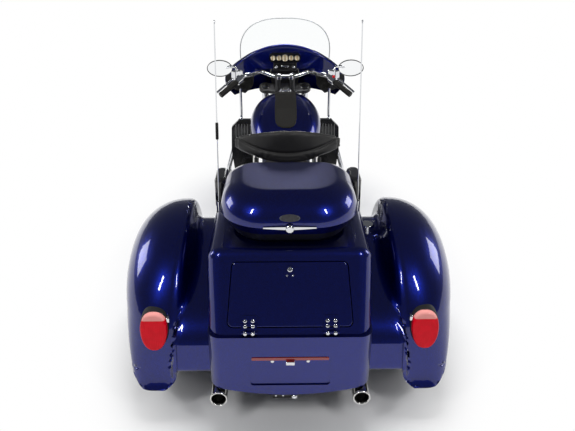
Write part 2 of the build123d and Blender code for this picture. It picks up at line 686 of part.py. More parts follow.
HINGE_Y = door_face_y(SILL_Z + 14) - 9
HINGE_Z = SILL_Z + 13
PIN_R = 2.5
with BuildPart() as hinge_fixed:
    for x in (-165, 165):
        with BuildSketch(Plane.YZ.offset(x - 12)):
            with Locations((HINGE_Y, HINGE_Z)):
                Circle(6)
            with BuildLine():
                Polyline((HINGE_Y, HINGE_Z - 4), (HINGE_Y + 26, HINGE_Z - 4), (HINGE_Y + 26, HINGE_Z + 4),
                         (HINGE_Y, HINGE_Z + 4), close=True)
            make_face()
            with Locations((HINGE_Y, HINGE_Z)):
                Circle(PIN_R + 0.2, mode=Mode.SUBTRACT)
        extrude(amount=24)
    add(body.part, mode=Mode.SUBTRACT)
fixed_keep = [s for s in hinge_fixed.solids() if s.center().Y < HINGE_Y + 14]
save(Compound(children=fixed_keep), "boot_hinge_fixed")

with BuildPart() as hinge_leaf:
    for x in (-165, 165):
        for x0 in (x - 32, x + 12.5):
            with BuildSketch(Plane.YZ.offset(x0)):
                with Locations((HINGE_Y, HINGE_Z)):
                    Circle(6)
            extrude(amount=19.5)
        with BuildSketch(Plane.YZ.offset(x - 32)):
            with Locations((HINGE_Y, HINGE_Z)):
                Circle(PIN_R)
        extrude(amount=64)
        leaf_at = (x, door_face_y(HINGE_Z + 40), HINGE_Z + 40)
        with BuildSketch(Plane(origin=leaf_at, x_dir=(1, 0, 0), z_dir=door_out)):
            RectangleRounded(64, 44, 8)
        extrude(amount=4)
        for x0 in (x - 22.25, x + 22.25):
            strap = Plane(origin=(x0, door_face_y(HINGE_Z + 16), HINGE_Z + 16), x_dir=(1, 0, 0), z_dir=door_out)
            with BuildSketch(strap):
                Rectangle(19.5, 34)
            extrude(amount=8)
            with BuildSketch(strap):
                Rectangle(19.5, 34)
            extrude(amount=4, mode=Mode.SUBTRACT)
    with BuildSketch(Plane(origin=(0, door_face_y(DOOR_TOP_Z - 26), DOOR_TOP_Z - 26), x_dir=(1, 0, 0),
                           z_dir=door_out)):
        Circle(13)
    extrude(amount=8)
save(hinge_leaf.part, "boot_fittings")

# Top box: base, lid, latch, speaker pods


def box_section(z, half_w, front, rear, corner):
    with BuildSketch(Plane.XY.offset(z)) as section:
        with Locations((0, (front + rear) / 2)):
            Rectangle(2 * half_w, front - rear)
        fillet(section.vertices().group_by(Axis.Y)[0], corner)
        fillet(section.vertices().group_by(Axis.Y)[-1], corner * 0.55)
    return section.sketch


BOX_WALL = 5
with BuildPart() as base_form:
    loft([box_section(BOX_FLOOR_Z, 236, BOX_FRONT_Y - 10, BOX_REAR_Y + 34, 150),
          box_section(SEAM_Z - 1, 284, BOX_FRONT_Y, BOX_REAR_Y, 190)])
base_outside = base_form.part

with BuildPart() as box_base:
    add(base_outside)
    loft([box_section(BOX_FLOOR_Z + BOX_WALL, 236 - BOX_WALL, BOX_FRONT_Y - 10 - BOX_WALL,
                      BOX_REAR_Y + 34 + BOX_WALL, 145),
          box_section(SEAM_Z, 284 - BOX_WALL, BOX_FRONT_Y - BOX_WALL, BOX_REAR_Y + BOX_WALL, 185)],
         mode=Mode.SUBTRACT)
    with BuildSketch(Plane.XY.offset(DECK_Z + FIT)):
        with Locations((0, (BOX_FRONT_Y + BOX_REAR_Y) / 2)):
            RectangleRounded(380, 330, 60)
    extrude(amount=BOX_FLOOR_Z - DECK_Z - FIT + 2)
save(box_base.part, "topbox_base")

with BuildPart() as lid_form:
    loft([box_section(SEAM_Z, 286, BOX_FRONT_Y, BOX_REAR_Y - 2, 190),
          box_section(SEAM_Z + 50, 278, BOX_FRONT_Y - 16, BOX_REAR_Y + 12, 186),
          box_section(LID_TOP_Z, 206, BOX_FRONT_Y - 84, BOX_REAR_Y + 100, 130)])
    fillet(lid_form.faces().sort_by(Axis.Z)[-1].edges(), 34)
lid_outside = lid_form.part

with BuildPart() as lid:
    add(lid_outside)
    loft([box_section(SEAM_Z - 1, 286 - BOX_WALL, BOX_FRONT_Y - BOX_WALL, BOX_REAR_Y - 2 + BOX_WALL, 185),
          box_section(SEAM_Z + 50, 272, BOX_FRONT_Y - 22, BOX_REAR_Y + 18, 180),
          box_section(LID_TOP_Z - 8, 190, BOX_FRONT_Y - 100, BOX_REAR_Y + 116, 120)], mode=Mode.SUBTRACT)
save(lid.part, "topbox_lid")

# Lid hinges behind the backrest: a barrel on the lid turns on a pin held by two lugs on the base
LID_HINGE_Y = BOX_FRONT_Y + 10
LID_HINGE_XS = (-150, 150)
LID_PIN_R = 3
LID_BARREL_R = 7

with BuildPart() as lid_barrels:
    for x in LID_HINGE_XS:
        with BuildSketch(Plane.YZ.offset(x - 18)):
            with Locations((LID_HINGE_Y, SEAM_Z)):
                Circle(LID_BARREL_R)
            with BuildLine():
                Polyline((LID_HINGE_Y, SEAM_Z + 2), (LID_HINGE_Y + 6, SEAM_Z + 5), (LID_HINGE_Y - 6, SEAM_Z + 30),
                         (LID_HINGE_Y - 26, SEAM_Z + 30), (LID_HINGE_Y - 14, SEAM_Z + 6), close=True)
            make_face()
            with Locations((LID_HINGE_Y, SEAM_Z)):
                Circle(LID_PIN_R + FIT, mode=Mode.SUBTRACT)
        extrude(amount=36)
    add(lid_outside, mode=Mode.SUBTRACT)
save(Compound(children=[b for b in lid_barrels.solids() if b.volume > 2000]), "lid_hinges")

with BuildPart() as lid_lugs:
    for x in LID_HINGE_XS:
        with BuildSketch(Plane.YZ.offset(x - 18)):
            with Locations((LID_HINGE_Y, SEAM_Z)):
                Circle(LID_PIN_R)
        extrude(amount=36)
        for x0 in (x - 30, x + 18.5):
            with BuildSketch(Plane.YZ.offset(x0)):
                with Locations((LID_HINGE_Y, SEAM_Z)):
                    Circle(LID_BARREL_R)
                with BuildLine():
                    Polyline((LID_HINGE_Y + 6, SEAM_Z - 4), (LID_HINGE_Y - 4, SEAM_Z - 30), (LID_HINGE_Y - 30, SEAM_Z - 30),
                             (LID_HINGE_Y - 30, SEAM_Z - 5), close=True)
                make_face()
            extrude(amount=11.5)
        with BuildSketch(Plane.YZ.offset(x - 18.5)):
            with Locations((LID_HINGE_Y, SEAM_Z)):
                Circle(LID_PIN_R)
        extrude(amount=37)
    add(base_outside, mode=Mode.SUBTRACT)
save(Compound(children=[b for b in lid_lugs.solids() if b.volume > 4000]), "topbox_hinge_lugs")

with BuildPart() as lid_latch:
    with BuildSketch(Plane.XZ.offset(-(BOX_REAR_Y - 2.2))):
        with Locations((0, SEAM_Z + 4)):
            RectangleRounded(210, 16, 6)
    extrude(amount=11)
save(lid_latch.part, "topbox_latch")

with BuildPart() as pods:
    with BuildSketch(Plane.XY.offset(DECK_Z - 30)):
        with Locations((POD_X, BOX_FRONT_Y + 30)):
            RectangleRounded(60, 150, 26)
    extrude(amount=140)
    fillet(pods.faces().sort_by(Axis.Z)[-1].edges(), 20)
    add(body_block.part, mode=Mode.SUBTRACT)
    add(box_base.part, mode=Mode.SUBTRACT)
    mirror(about=Plane.YZ)
save(pods.part, "speaker_pods")

with BuildPart() as aerials:
    with BuildSketch(Plane.XY.offset(DECK_Z - 40)):
        with Locations((AERIAL_X, RA - 60)):
            Circle(11)
    extrude(amount=70)
    with BuildSketch(Plane(origin=(AERIAL_X, RA - 60, DECK_Z + 20), z_dir=(-0.028, 0, 1))):
        Circle(2.5)
    extrude(amount=AERIAL_TOP_Z - DECK_Z - 20)
    add(body_block.part, mode=Mode.SUBTRACT)
    mirror(about=Plane.YZ)
save(aerials.part, "aerials")

# Seats and backrest

# y, half-width, height of the edge above the seat base, edge radius, how far the middle stands above the edge
RIDER_SECTIONS = [
    (FA - 946, 105, 60, 40, 6),
    (FA - 1050, 150, 60, 42, -6),
    (RA + 570, 184, 72, 46, -12),
    (RA + 480, 200, 116, 50, -8),
    (RA + 402, 205, 170, 50, -4),
]
PASSENGER_SECTIONS = [
    (RA + 402 - FIT, 205, 166, 44, 4),
    (RA + 290, 209, 176, 48, -6),
    (BODY_FRONT_Y + FIT, 205, 180, 44, -8),
]


def seat_loft(sections):
    with BuildPart() as cushion:
        for y, half_w, height, edge_r, rise in sections:
            with BuildSketch(Plane(origin=(0, y, SEAT_BASE_Z), x_dir=(1, 0, 0), z_dir=(0, -1, 0))):
                with BuildLine():
                    Line((-half_w, 0), (half_w, 0))
                    Line((half_w, 0), (half_w, height - edge_r))
                    ThreePointArc((half_w, height - edge_r), (half_w - edge_r * 0.293, height - edge_r * 0.293),
                                  (half_w - edge_r, height))
                    ThreePointArc((half_w - edge_r, height), (0, height + rise), (edge_r - half_w, height))
                    ThreePointArc((edge_r - half_w, height), (edge_r * 0.293 - half_w, height - edge_r * 0.293),
                                  (-half_w, height - edge_r))
                    Line((-half_w, height - edge_r), (-half_w, 0))
                make_face()
        loft()
    return cushion.part


with BuildPart() as rider_seat:
    add(seat_loft(RIDER_SECTIONS))
    add(frame.part, mode=Mode.SUBTRACT)
save(rider_seat.part, "rider_seat")

with BuildPart() as passenger_seat:
    add(seat_loft(PASSENGER_SECTIONS))
    add(rider_seat.part, mode=Mode.SUBTRACT)
save(passenger_seat.part, "passenger_seat")

with BuildPart() as backrest:
    with BuildSketch(Plane.XY.offset(BACKREST_Z)):
        with BuildLine():
            outer = ThreePointArc((-262, BACKREST_Y + 110), (0, BACKREST_Y), (262, BACKREST_Y + 110))
            inner = ThreePointArc((-232, BACKREST_Y + 140), (0, BACKREST_Y + 62), (232, BACKREST_Y + 140))
            Line(outer @ 0, inner @ 0)
            Line(outer @ 1, inner @ 1)
        make_face()
    extrude(amount=175)
    with BuildSketch(Plane.XZ.offset(-BACKREST_Y + 60)) as arch:
        with BuildLine():
            ThreePointArc((-268, BACKREST_Z + 100), (0, BACKREST_Z + 172), (268, BACKREST_Z + 100))
            Line((268, BACKREST_Z + 100), (262, BACKREST_Z + 52))
            ThreePointArc((262, BACKREST_Z + 52), (0, BACKREST_Z + 6), (-262, BACKREST_Z + 52))
            Line((-262, BACKREST_Z + 52), (-268, BACKREST_Z + 100))
        make_face()
    extrude(amount=-300, mode=Mode.INTERSECT)
    fillet(backrest.edges().filter_by(lambda e: e.length > 150), 14)
save(backrest.part, "backrest")

with BuildPart() as bracket:
    for side in (-1, 1):
        add(tube([(side * 150, BOX_FRONT_Y - 6, 850), (side * 150, BACKREST_Y + 20, 862),
                  (side * 150, BACKREST_Y + 50, BACKREST_Z + 40)], 9, 16))
    add(box_base.part, mode=Mode.SUBTRACT)
    add(backrest.part, mode=Mode.SUBTRACT)
bracket_keep = [s for s in bracket.solids() if s.volume > 9000]
save(Compound(children=bracket_keep), "backrest_bracket")

# Tank and console

# y, bottom half-width, widest half-width, bottom z, widest z, shoulder half-width, shoulder z, top z
TANK_SECTIONS = [
    (TANK_REAR_Y, 84, 120, 700, 752, 76, 796, 812),
    (TANK_REAR_Y + 145, 146, 200, 700, 820, 116, 912, 936),
    (TANK_REAR_Y + 295, 150, 205, 716, 858, 120, 962, 984),
    (TANK_REAR_Y + 432, 92, 140, 752, 868, 80, 944, 962),
]
with BuildPart() as tank:
    for y, half_b, half_w, z_b, z_w, half_t, z_s, z_t in TANK_SECTIONS:
        with BuildSketch(Plane(origin=(0, y, 0), x_dir=(1, 0, 0), z_dir=(0, -1, 0))):
            with BuildLine():
                Line((-half_b, z_b), (half_b, z_b))
                ThreePointArc((half_b, z_b), (half_w, z_w), (half_t, z_s))
                ThreePointArc((half_t, z_s), (0, z_t), (-half_t, z_s))
                ThreePointArc((-half_t, z_s), (-half_w, z_w), (-half_b, z_b))
            make_face()
    loft()
    add(tube(backbone_points, BACKBONE_R + FIT, 120), mode=Mode.SUBTRACT)
    with BuildSketch(Plane.YZ):
        with BuildLine():
            Polyline((FA - 1000, 600), (FA - 1000, SEAT_RAIL_Z), (FA - 860, 748), (head_mid[1], head_mid[2]),
                     (head_mid[1], 600), close=True)
        make_face()
    extrude(amount=BACKBONE_R + FIT, both=True, mode=Mode.SUBTRACT)
save(tank.part, "fuel_tank")

with BuildPart() as console:
    with BuildSketch(Plane.XY.offset(780)) as strip:
        with Locations((0, TANK_REAR_Y + 225)):
            RectangleRounded(130, 370, 50)
    extrude(amount=240)
    with BuildSketch(Plane.YZ):
        with BuildLine():
            Polyline((TANK_REAR_Y, 700), (TANK_REAR_Y, 836), (TANK_REAR_Y + 145, 950), (TANK_REAR_Y + 295, 998),
                     (TANK_REAR_Y + 432, 974), (TANK_REAR_Y + 432, 700), close=True)
        make_face()
    extrude(amount=100, both=True, mode=Mode.INTERSECT)
    add(tank.part, mode=Mode.SUBTRACT)
console_keep = console.solids().sort_by(Axis.Z)[-1]
save(console_keep, "tank_console")

with BuildPart() as side_cover:
    with BuildSketch(Plane.YZ.offset(170)) as side:
        with BuildLine():
            Polyline((RA + 300, 470), (RA + 290, 655), (FA - 960, 655), (FA - 990, 520), (RA + 560, 470), close=True)
        make_face()
        fillet(side.vertices(), 30)
    extrude(amount=10)
    for y in (RA + 380, RA + 640):
        add(tube([(SEAT_RAIL_X + 10, y, SEAT_RAIL_Z), (172, y, SEAT_RAIL_Z)], 7))
    add(frame.part, mode=Mode.SUBTRACT)
    add(shocks.part, mode=Mode.SUBTRACT)
cover_keep = side_cover.solids().sort_by(Axis.X)[-1]
pair(cover_keep, "side_covers")

# Fairing, dash, windscreen and headlamp

# z, half-width at the dash, depth ahead of the dash
FAIRING_SECTIONS = [(900, 330, 190), (960, 378, 240), (1030, 384, 250), (1100, 330, 214), (1160, 244, 140),
                    (1204, 110, 50)]


def fairing_loft(wall, drop):
    with BuildPart() as piece:
        for i, (z, half, depth) in enumerate(FAIRING_SECTIONS):
            last = i == len(FAIRING_SECTIONS) - 1
            height = z - drop if i == 0 else z - 1.5 * wall if last else z
            with BuildSketch(Plane.XY.offset(height)):
                with BuildLine():
                    ThreePointArc((-half + wall, DASH_Y + DASH_T), (0, DASH_Y + DASH_T + depth - wall),
                                  (half - wall, DASH_Y + DASH_T))
                    Line((half - wall, DASH_Y + DASH_T), (-half + wall, DASH_Y + DASH_T))
                make_face()
        loft()
    return piece.part


fairing_solid = fairing_loft(0, 0)
HEADLAMP_Z = 985
with BuildPart() as fairing:
    add(fairing_solid)
    add(fairing_loft(5, 5), mode=Mode.SUBTRACT)
    with BuildSketch(Plane.XZ.offset(-(DASH_Y + DASH_T + 150))):
        with Locations((0, HEADLAMP_Z)):
            Circle(96)
    extrude(amount=-200, mode=Mode.SUBTRACT)
save(fairing.part, "fairing")

with BuildPart() as headlamp:
    with BuildSketch(Plane.XZ.offset(-(DASH_Y + DASH_T + 130))):
        with Locations((0, HEADLAMP_Z)):
            Circle(96 - FIT)
    extrude(amount=-134)
    fillet(headlamp.faces().sort_by(Axis.Y)[-1].edges(), 24)
save(headlamp.part, "headlamp")

with BuildPart() as dash:
    with BuildSketch(Plane.XZ.offset(-(DASH_Y + DASH_T - 0.2))) as face:
        with BuildLine():
            ThreePointArc((-384, 1030), (0, 1208), (384, 1030))
            Polyline((384, 1030), (378, 960), (260, 915), (210, 960), (190, 1075), (-190, 1075), (-210, 960),
                     (-260, 915), (-378, 960), (-384, 1030))
        make_face()
    extrude(amount=DASH_T - 0.2)
    with BuildSketch(Plane.XZ.offset(-DASH_Y)):
        with Locations((-250, 985), (250, 985)):
            Circle(48)
    extrude(amount=-6, mode=Mode.SUBTRACT)
save(dash.part, "dash")

with BuildPart() as gauges:
    with BuildSketch(Plane.XZ.offset(-(DASH_Y - 0.2))):
        with Locations((0, 1150)):
            RectangleRounded(200, 62, 26)
    extrude(amount=22)
save(gauges.part, "instruments")

with BuildPart() as windscreen:
    with BuildSketch(Plane.XY.offset(1060)):
        with BuildLine():
            outer = ThreePointArc((-300, DASH_Y + 70), (0, DASH_Y + 178), (300, DASH_Y + 70))
            inner = ThreePointArc((-300, DASH_Y + 66), (0, DASH_Y + 174), (300, DASH_Y + 66))
            Line(outer @ 0, inner @ 0)
            Line(outer @ 1, inner @ 1)
        make_face()
    extrude(amount=480, dir=(0, -0.68, 0.733))
    with BuildSketch(Plane.XZ.offset(-(DASH_Y - 400))) as arch:
        with BuildLine():
            ThreePointArc((-252, 1330), (0, 1416), (252, 1330))
            Polyline((252, 1330), (282, 1200), (282, 1050), (-282, 1050), (-282, 1200), (-252, 1330))
        make_face()
        fillet(arch.vertices().filter_by(lambda v: v.Y > 1300), 40)
    extrude(amount=-700, mode=Mode.INTERSECT)
    add(fairing_solid, mode=Mode.SUBTRACT)
screen_keep = windscreen.solids().sort_by(Axis.Z)[-1]
save(screen_keep, "windscreen")

# Crash bars with fairing stays, leg shields, floorboards

with BuildPart() as crash_bars:
    for side in (-1, 1):
        add(tube([(side * (RAIL_X - 6), FA - 470, 235), (side * 330, FA - 455, 250),
                  (side * 384, FA - 450, 420), (side * 330, FA - 430, 610), (side * 70, FA - 400, 640)], 15, 70))
        add(tube([(side * 310, FA - 430, 606), (side * 290, DASH_Y + 7, 760),
                  (side * 290, DASH_Y + 7, 945)], 9, 60))
    add(frame.part, mode=Mode.SUBTRACT)
    add(radiator.part, mode=Mode.SUBTRACT)
    add(dash.part, mode=Mode.SUBTRACT)
bars_keep = [s for s in crash_bars.solids() if s.volume > 100000]
save(Compound(children=bars_keep), "crash_bars")

with BuildPart() as lowers:
    with BuildSketch(Plane.XZ.offset(-(FA - 438))) as side:
        with BuildLine():
            Polyline((195, 420), (340, 420), (356, 560), (350, 720), (300, 770), (215, 770), (185, 640), close=True)
        make_face()
        fillet(side.vertices(), 20)
    extrude(amount=26)
    add(crash_bars.part, mode=Mode.SUBTRACT)
    add(frame.part, mode=Mode.SUBTRACT)
    mirror(about=Plane.YZ)
save(lowers.part, "lower_fairings")

with BuildPart() as boards:
    with BuildSketch(Plane.XY.offset(290)):
        with Locations((255, FA - 795)):
            RectangleRounded(120, 370, 40)
    extrude(amount=16)
    for y in (FA - 970, FA - 628):
        with BuildSketch(Plane.XY.offset(268)):
            with Locations((ENGINE_HALF_W + 45, y)):
                Rectangle(109.6, 20)
        extrude(amount=24)
    mirror(about=Plane.YZ)
save(boards.part, "floorboards")

# Steering body: clamps and stem, legs, bars, controls, mirrors, fender, axle, calipers

bar_bend = Vector(245, FA - 662, 1108)
bar_end = Vector(378, FA - 770, 1023)
grip_dir = (bar_end - bar_bend).normalized()
lever_dir = Vector(-grip_dir.Y, grip_dir.X, 0).normalized()
bar_half = [(60, axis_y(BAR_Z), BAR_Z), (150, axis_y(BAR_Z) - 10, BAR_Z + 35), tuple(bar_bend), tuple(bar_end)]
bar_points = [(-x, y, z) for x, y, z in reversed(bar_half)] + bar_half
bar_tube = tube(bar_points, 12.5, 40)

with BuildPart() as clamps:
    for s, thick in ((LOWER_CLAMP_S, CLAMP_T), (UPPER_CLAMP_S, 22)):
        with BuildSketch(Plane(origin=stem_point(s), x_dir=(1, 0, 0), z_dir=stem_dir)):
            Circle(38)
            with Locations((-FORK_X, FORK_OFFSET), (FORK_X, FORK_OFFSET)):
                Circle(LEG_R + 9)
            with BuildLine():
                Polyline((-FORK_X, FORK_OFFSET - 34), (0, -36), (FORK_X, FORK_OFFSET - 34), (FORK_X, FORK_OFFSET + 34),
                         (-FORK_X, FORK_OFFSET + 34), close=True)
            make_face()
        extrude(amount=thick)
    with BuildSketch(Plane(origin=stem_point(LOWER_CLAMP_S + 2), z_dir=stem_dir)):
        Circle(STEM_R)
    extrude(amount=UPPER_CLAMP_S - LOWER_CLAMP_S)
    for side in (-1, 1):
        with BuildSketch(Plane(origin=stem_point(UPPER_CLAMP_S + 10), x_dir=(1, 0, 0), z_dir=stem_dir)):
            with Locations((side * 46, 0)):
                Circle(17)
        extrude(amount=(BAR_Z - upper_clamp_z) / cos(radians(RAKE)) - 10)
        with BuildSketch(Plane(origin=fork_point(side * FORK_X, LOWER_CLAMP_S - 5), z_dir=stem_dir)):
            Circle(LEG_R - 7)
        extrude(amount=UPPER_CLAMP_S - LOWER_CLAMP_S + 60, mode=Mode.SUBTRACT)
    add(bar_tube, mode=Mode.SUBTRACT)
save(clamps.part, "triple_clamps")

with BuildPart() as fork_leg:
    for s0, s1, radius in [(-34, 326, LEG_R), (300, UPPER_CLAMP_S + 30, LEG_R - 7.1),
                           (340, LOWER_CLAMP_S - 0.2, LEG_R + 4)]:
        with BuildSketch(Plane(origin=fork_point(FORK_X, s0), z_dir=stem_dir)):
            Circle(radius)
        extrude(amount=s1 - s0)
    with BuildSketch(Plane(origin=(FORK_X - 60, FA, FRONT_TYRE_R), z_dir=(1, 0, 0))):
        Circle(AXLE_R + 0.1)
    extrude(amount=120, mode=Mode.SUBTRACT)
pair(fork_leg.part, "fork_legs")
fork_leg_left = mirror(fork_leg.part, about=Plane.YZ)

with BuildPart() as front_axle:
    add(tube([(-FORK_X - 40, FA, FRONT_TYRE_R), (FORK_X + 40, FA, FRONT_TYRE_R)], AXLE_R))
save(front_axle.part, "front_axle")

with BuildPart() as handlebar:
    add(bar_tube)
save(handlebar.part, "handlebar")

with BuildPart() as grips:
    with BuildSketch(Plane(origin=bar_bend + grip_dir * 66, z_dir=grip_dir)):
        Circle(17)
    extrude(amount=(bar_end - bar_bend).length - 60)
    add(bar_tube, mode=Mode.SUBTRACT)
    mirror(about=Plane.YZ)
save(grips.part, "grips")

control_at = bar_bend + grip_dir * 28
with BuildPart() as control:
    with BuildSketch(Plane(origin=control_at, z_dir=grip_dir)):
        Circle(22)
    extrude(amount=36)
    lever_root = control_at + grip_dir * 14 + lever_dir * 8
    lever_knee = control_at + grip_dir * 22 + lever_dir * 56
    lever_tip = control_at + grip_dir * 160 + lever_dir * 50
    add(tube([tuple(lever_root), tuple(lever_knee), tuple(lever_tip)], 6, 20))
    reservoir = control_at + grip_dir * 10 + lever_dir * 26
    with BuildSketch(Plane(origin=(reservoir.X, reservoir.Y, reservoir.Z + 6), x_dir=tuple(lever_dir))):
        RectangleRounded(44, 62, 10)
    extrude(amount=40)
    add(bar_tube, mode=Mode.SUBTRACT)
pair(control.part, "hand_controls")

with BuildPart() as mirrors:
    foot = Vector(reservoir.X, reservoir.Y, reservoir.Z + 46.2)
    add(tube([tuple(foot), (foot.X + 6, foot.Y + 4, foot.Z + 24), (MIRROR_X - 20, MIRROR_Y + 14, MIRROR_Z)], 6, 14))
    mirror(about=Plane.YZ)
with BuildPart() as mirror_shell:
    for depth, half_w, half_h in [(0, 75, 48), (22, 66, 40), (36, 40, 24)]:
        with BuildSketch(Plane.XZ.offset(-MIRROR_Y - depth)):
            with Locations((MIRROR_X, MIRROR_Z)):
                Ellipse(half_w, half_h)
    loft()
with BuildPart() as mirror_set:
    add(mirrors.part)
    add(mirror_shell.part)
    mirror(mirror_shell.part, about=Plane.YZ)
    add(control.part, mode=Mode.SUBTRACT)
    add(mirror(control.part, about=Plane.YZ, mode=Mode.PRIVATE), mode=Mode.SUBTRACT)
save(mirror_set.part, "mirrors")

lead = radians(FENDER_LEAD)
with BuildPart() as front_fender:
    with BuildSketch(Plane(origin=front_centre, x_dir=(1, 0, 0), z_dir=(0, -cos(lead), sin(lead)))):
        with BuildLine():
            out = ThreePointArc((-90, FRONT_TYRE_R - 40), (0, FRONT_TYRE_R + 32), (90, FRONT_TYRE_R - 40))
            inn = ThreePointArc((-86, FRONT_TYRE_R - 40), (0, FRONT_TYRE_R + 28), (86, FRONT_TYRE_R - 40))
            Line(out @ 0, inn @ 0)
            Line(out @ 1, inn @ 1)
        make_face()
    revolve(axis=Axis(front_centre, (1, 0, 0)), revolution_arc=150)
    for side in (-1, 1):
        boss = fork_point(side * 85, FRONT_TYRE_R - 31)
        with BuildSketch(Plane(origin=boss, z_dir=(side, 0, 0))):
            Circle(13)
        extrude(amount=22)
    add(fork_leg.part, mode=Mode.SUBTRACT)
    add(fork_leg_left, mode=Mode.SUBTRACT)
save(front_fender.part, "front_fender")

with BuildPart() as front_calipers:
    with BuildSketch(Plane(origin=(67, FA, FRONT_TYRE_R), x_dir=(0, 1, 0), z_dir=(1, 0, 0))):
        with Locations((-118, 62)):
            Rectangle(84, 90)
        Circle(108, mode=Mode.SUBTRACT)
        Circle(172, mode=Mode.INTERSECT)
    extrude(amount=46)
    with BuildSketch(Plane(origin=(92, FA, FRONT_TYRE_R), x_dir=(0, 1, 0), z_dir=(1, 0, 0))):
        with Locations((-88, 70)):
            Rectangle(90, 50)
    extrude(amount=21)
    with BuildSketch(Plane(origin=(FRONT_DISC_X - 5, FA, FRONT_TYRE_R), z_dir=(1, 0, 0))):
        Circle(154)
    extrude(amount=15.6, mode=Mode.SUBTRACT)
    add(fork_leg.part, mode=Mode.SUBTRACT)
    mirror(about=Plane.YZ)
save(front_calipers.part, "front_calipers")
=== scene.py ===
import math

import bpy
from mathutils import Matrix, Vector


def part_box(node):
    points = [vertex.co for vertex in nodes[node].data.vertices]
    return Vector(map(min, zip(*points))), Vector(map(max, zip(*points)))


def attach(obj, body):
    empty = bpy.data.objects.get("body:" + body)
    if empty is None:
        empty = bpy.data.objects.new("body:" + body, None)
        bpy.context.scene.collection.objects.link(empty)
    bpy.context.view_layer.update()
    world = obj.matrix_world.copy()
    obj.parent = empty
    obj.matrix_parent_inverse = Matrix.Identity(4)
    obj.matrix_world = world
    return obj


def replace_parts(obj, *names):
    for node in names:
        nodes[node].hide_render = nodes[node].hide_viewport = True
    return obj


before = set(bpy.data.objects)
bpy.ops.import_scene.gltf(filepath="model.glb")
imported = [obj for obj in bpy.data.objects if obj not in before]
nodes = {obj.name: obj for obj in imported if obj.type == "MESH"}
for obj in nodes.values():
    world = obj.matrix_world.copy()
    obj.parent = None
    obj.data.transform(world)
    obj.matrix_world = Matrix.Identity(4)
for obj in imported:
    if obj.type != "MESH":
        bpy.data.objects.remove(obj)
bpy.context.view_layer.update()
rear_axle_y = (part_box("rear_tyre_left")[0].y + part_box("rear_tyre_left")[1].y) / 2
front_axle_y = (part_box("front_tyre")[0].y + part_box("front_tyre")[1].y) / 2

# The studio: a pale floor with a soft shadow under the trike and soft lamps all round it.
# The camera stands behind the tail and above it, where the photograph was taken from.
scene = bpy.context.scene
scene.view_settings.view_transform = "Standard"

camera_data = bpy.data.cameras.new("tail_camera")
camera_data.lens = 38.3
camera_data.sensor_width = 36
camera_data.sensor_fit = "HORIZONTAL"
camera = bpy.data.objects.new("tail_camera", camera_data)
camera.location = (-0.0387, rear_axle_y - 2.548, 2.033)
camera.rotation_euler = (math.radians(90 - 27.2), 0, -0.014)
scene.collection.objects.link(camera)
scene.camera = camera

room = bpy.data.worlds.new("grey_room")
scene.world = room
room.use_nodes = True
room_light = room.node_tree.nodes["Background"]
room_light.inputs["Color"].default_value = (0.86, 0.90, 1.0, 1)
room_light.inputs["Strength"].default_value = 0.12

# name, place, width and height of the panel, watts, whether gloss shows it
for lamp_name, place, width, height, watts, mirrored in [
    ("overhead_bank", (0.0, -0.2, 4.2), 1.8, 1.8, 135, False),
    ("left_strip", (-2.3, rear_axle_y - 2.7, 3.4), 0.26, 1.2, 42, True),
    ("right_strip", (2.2, rear_axle_y - 2.8, 3.3), 0.26, 1.2, 38, True),
    ("left_wall", (-4.4, 0.6, 2.0), 1.6, 1.6, 46, True),
    ("right_wall", (4.4, 0.6, 2.0), 1.6, 1.6, 46, True),
    ("front_bank", (0.4, 4.8, 2.2), 1.6, 1.2, 60, False),
]:
    lamp_data = bpy.data.lights.new(lamp_name, "AREA")
    lamp_data.shape = "RECTANGLE"
    lamp_data.size = width
    lamp_data.size_y = height
    lamp_data.energy = watts
    lamp = bpy.data.objects.new(lamp_name, lamp_data)
    lamp.location = place
    lamp.visible_glossy = mirrored
    lamp.rotation_euler = (Vector((0, -0.5, 0.5)) - Vector(place)).to_track_quat("-Z", "Y").to_euler()
    scene.collection.objects.link(lamp)

bpy.ops.object.select_all(action="DESELECT")
bpy.ops.mesh.primitive_plane_add(size=60, location=(0, 0, 0))
floor = bpy.context.object
floor.name = "studio_floor"
floor_finish = bpy.data.materials.new("white_floor")
floor_finish.use_nodes = True
tree = floor_finish.node_tree
matt = tree.nodes["Principled BSDF"]
matt.inputs["Base Color"].default_value = (0.84, 0.84, 0.85, 1)
matt.inputs["Roughness"].default_value = 0.8
matt.inputs["Specular IOR Level"].default_value = 0.1
spot = tree.nodes.new("ShaderNodeTexCoord")
footprint = tree.nodes.new("ShaderNodeMapping")
footprint.inputs["Scale"].default_value = (1 / 0.80, 1 / 1.36, 1)
reach = tree.nodes.new("ShaderNodeVectorMath")
reach.operation = "LENGTH"
fade = tree.nodes.new("ShaderNodeMapRange")
fade.interpolation_type = "SMOOTHSTEP"
fade.inputs["From Min"].default_value = 0.96
fade.inputs["From Max"].default_value = 1.50
fade.inputs["To Min"].default_value = 0.0
fade.inputs["To Max"].default_value = 1.0
rays = tree.nodes.new("ShaderNodeLightPath")
seen = tree.nodes.new("ShaderNodeMath")
seen.operation = "MAXIMUM"
seen_through = tree.nodes.new("ShaderNodeMath")
seen_through.operation = "MAXIMUM"
lift = tree.nodes.new("ShaderNodeMath")
lift.operation = "MULTIPLY"
white = tree.nodes.new("ShaderNodeEmission")
white.inputs["Color"].default_value = (1, 1, 1, 1)
white.inputs["Strength"].default_value = 1.0
mixed = tree.nodes.new("ShaderNodeMixShader")
tree.links.new(spot.outputs["Object"], footprint.inputs["Vector"])
tree.links.new(footprint.outputs["Vector"], reach.inputs[0])
tree.links.new(reach.outputs["Value"], fade.inputs["Value"])
tree.links.new(rays.outputs["Is Camera Ray"], seen.inputs[0])
tree.links.new(rays.outputs["Is Glossy Ray"], seen.inputs[1])
tree.links.new(seen.outputs[0], seen_through.inputs[0])
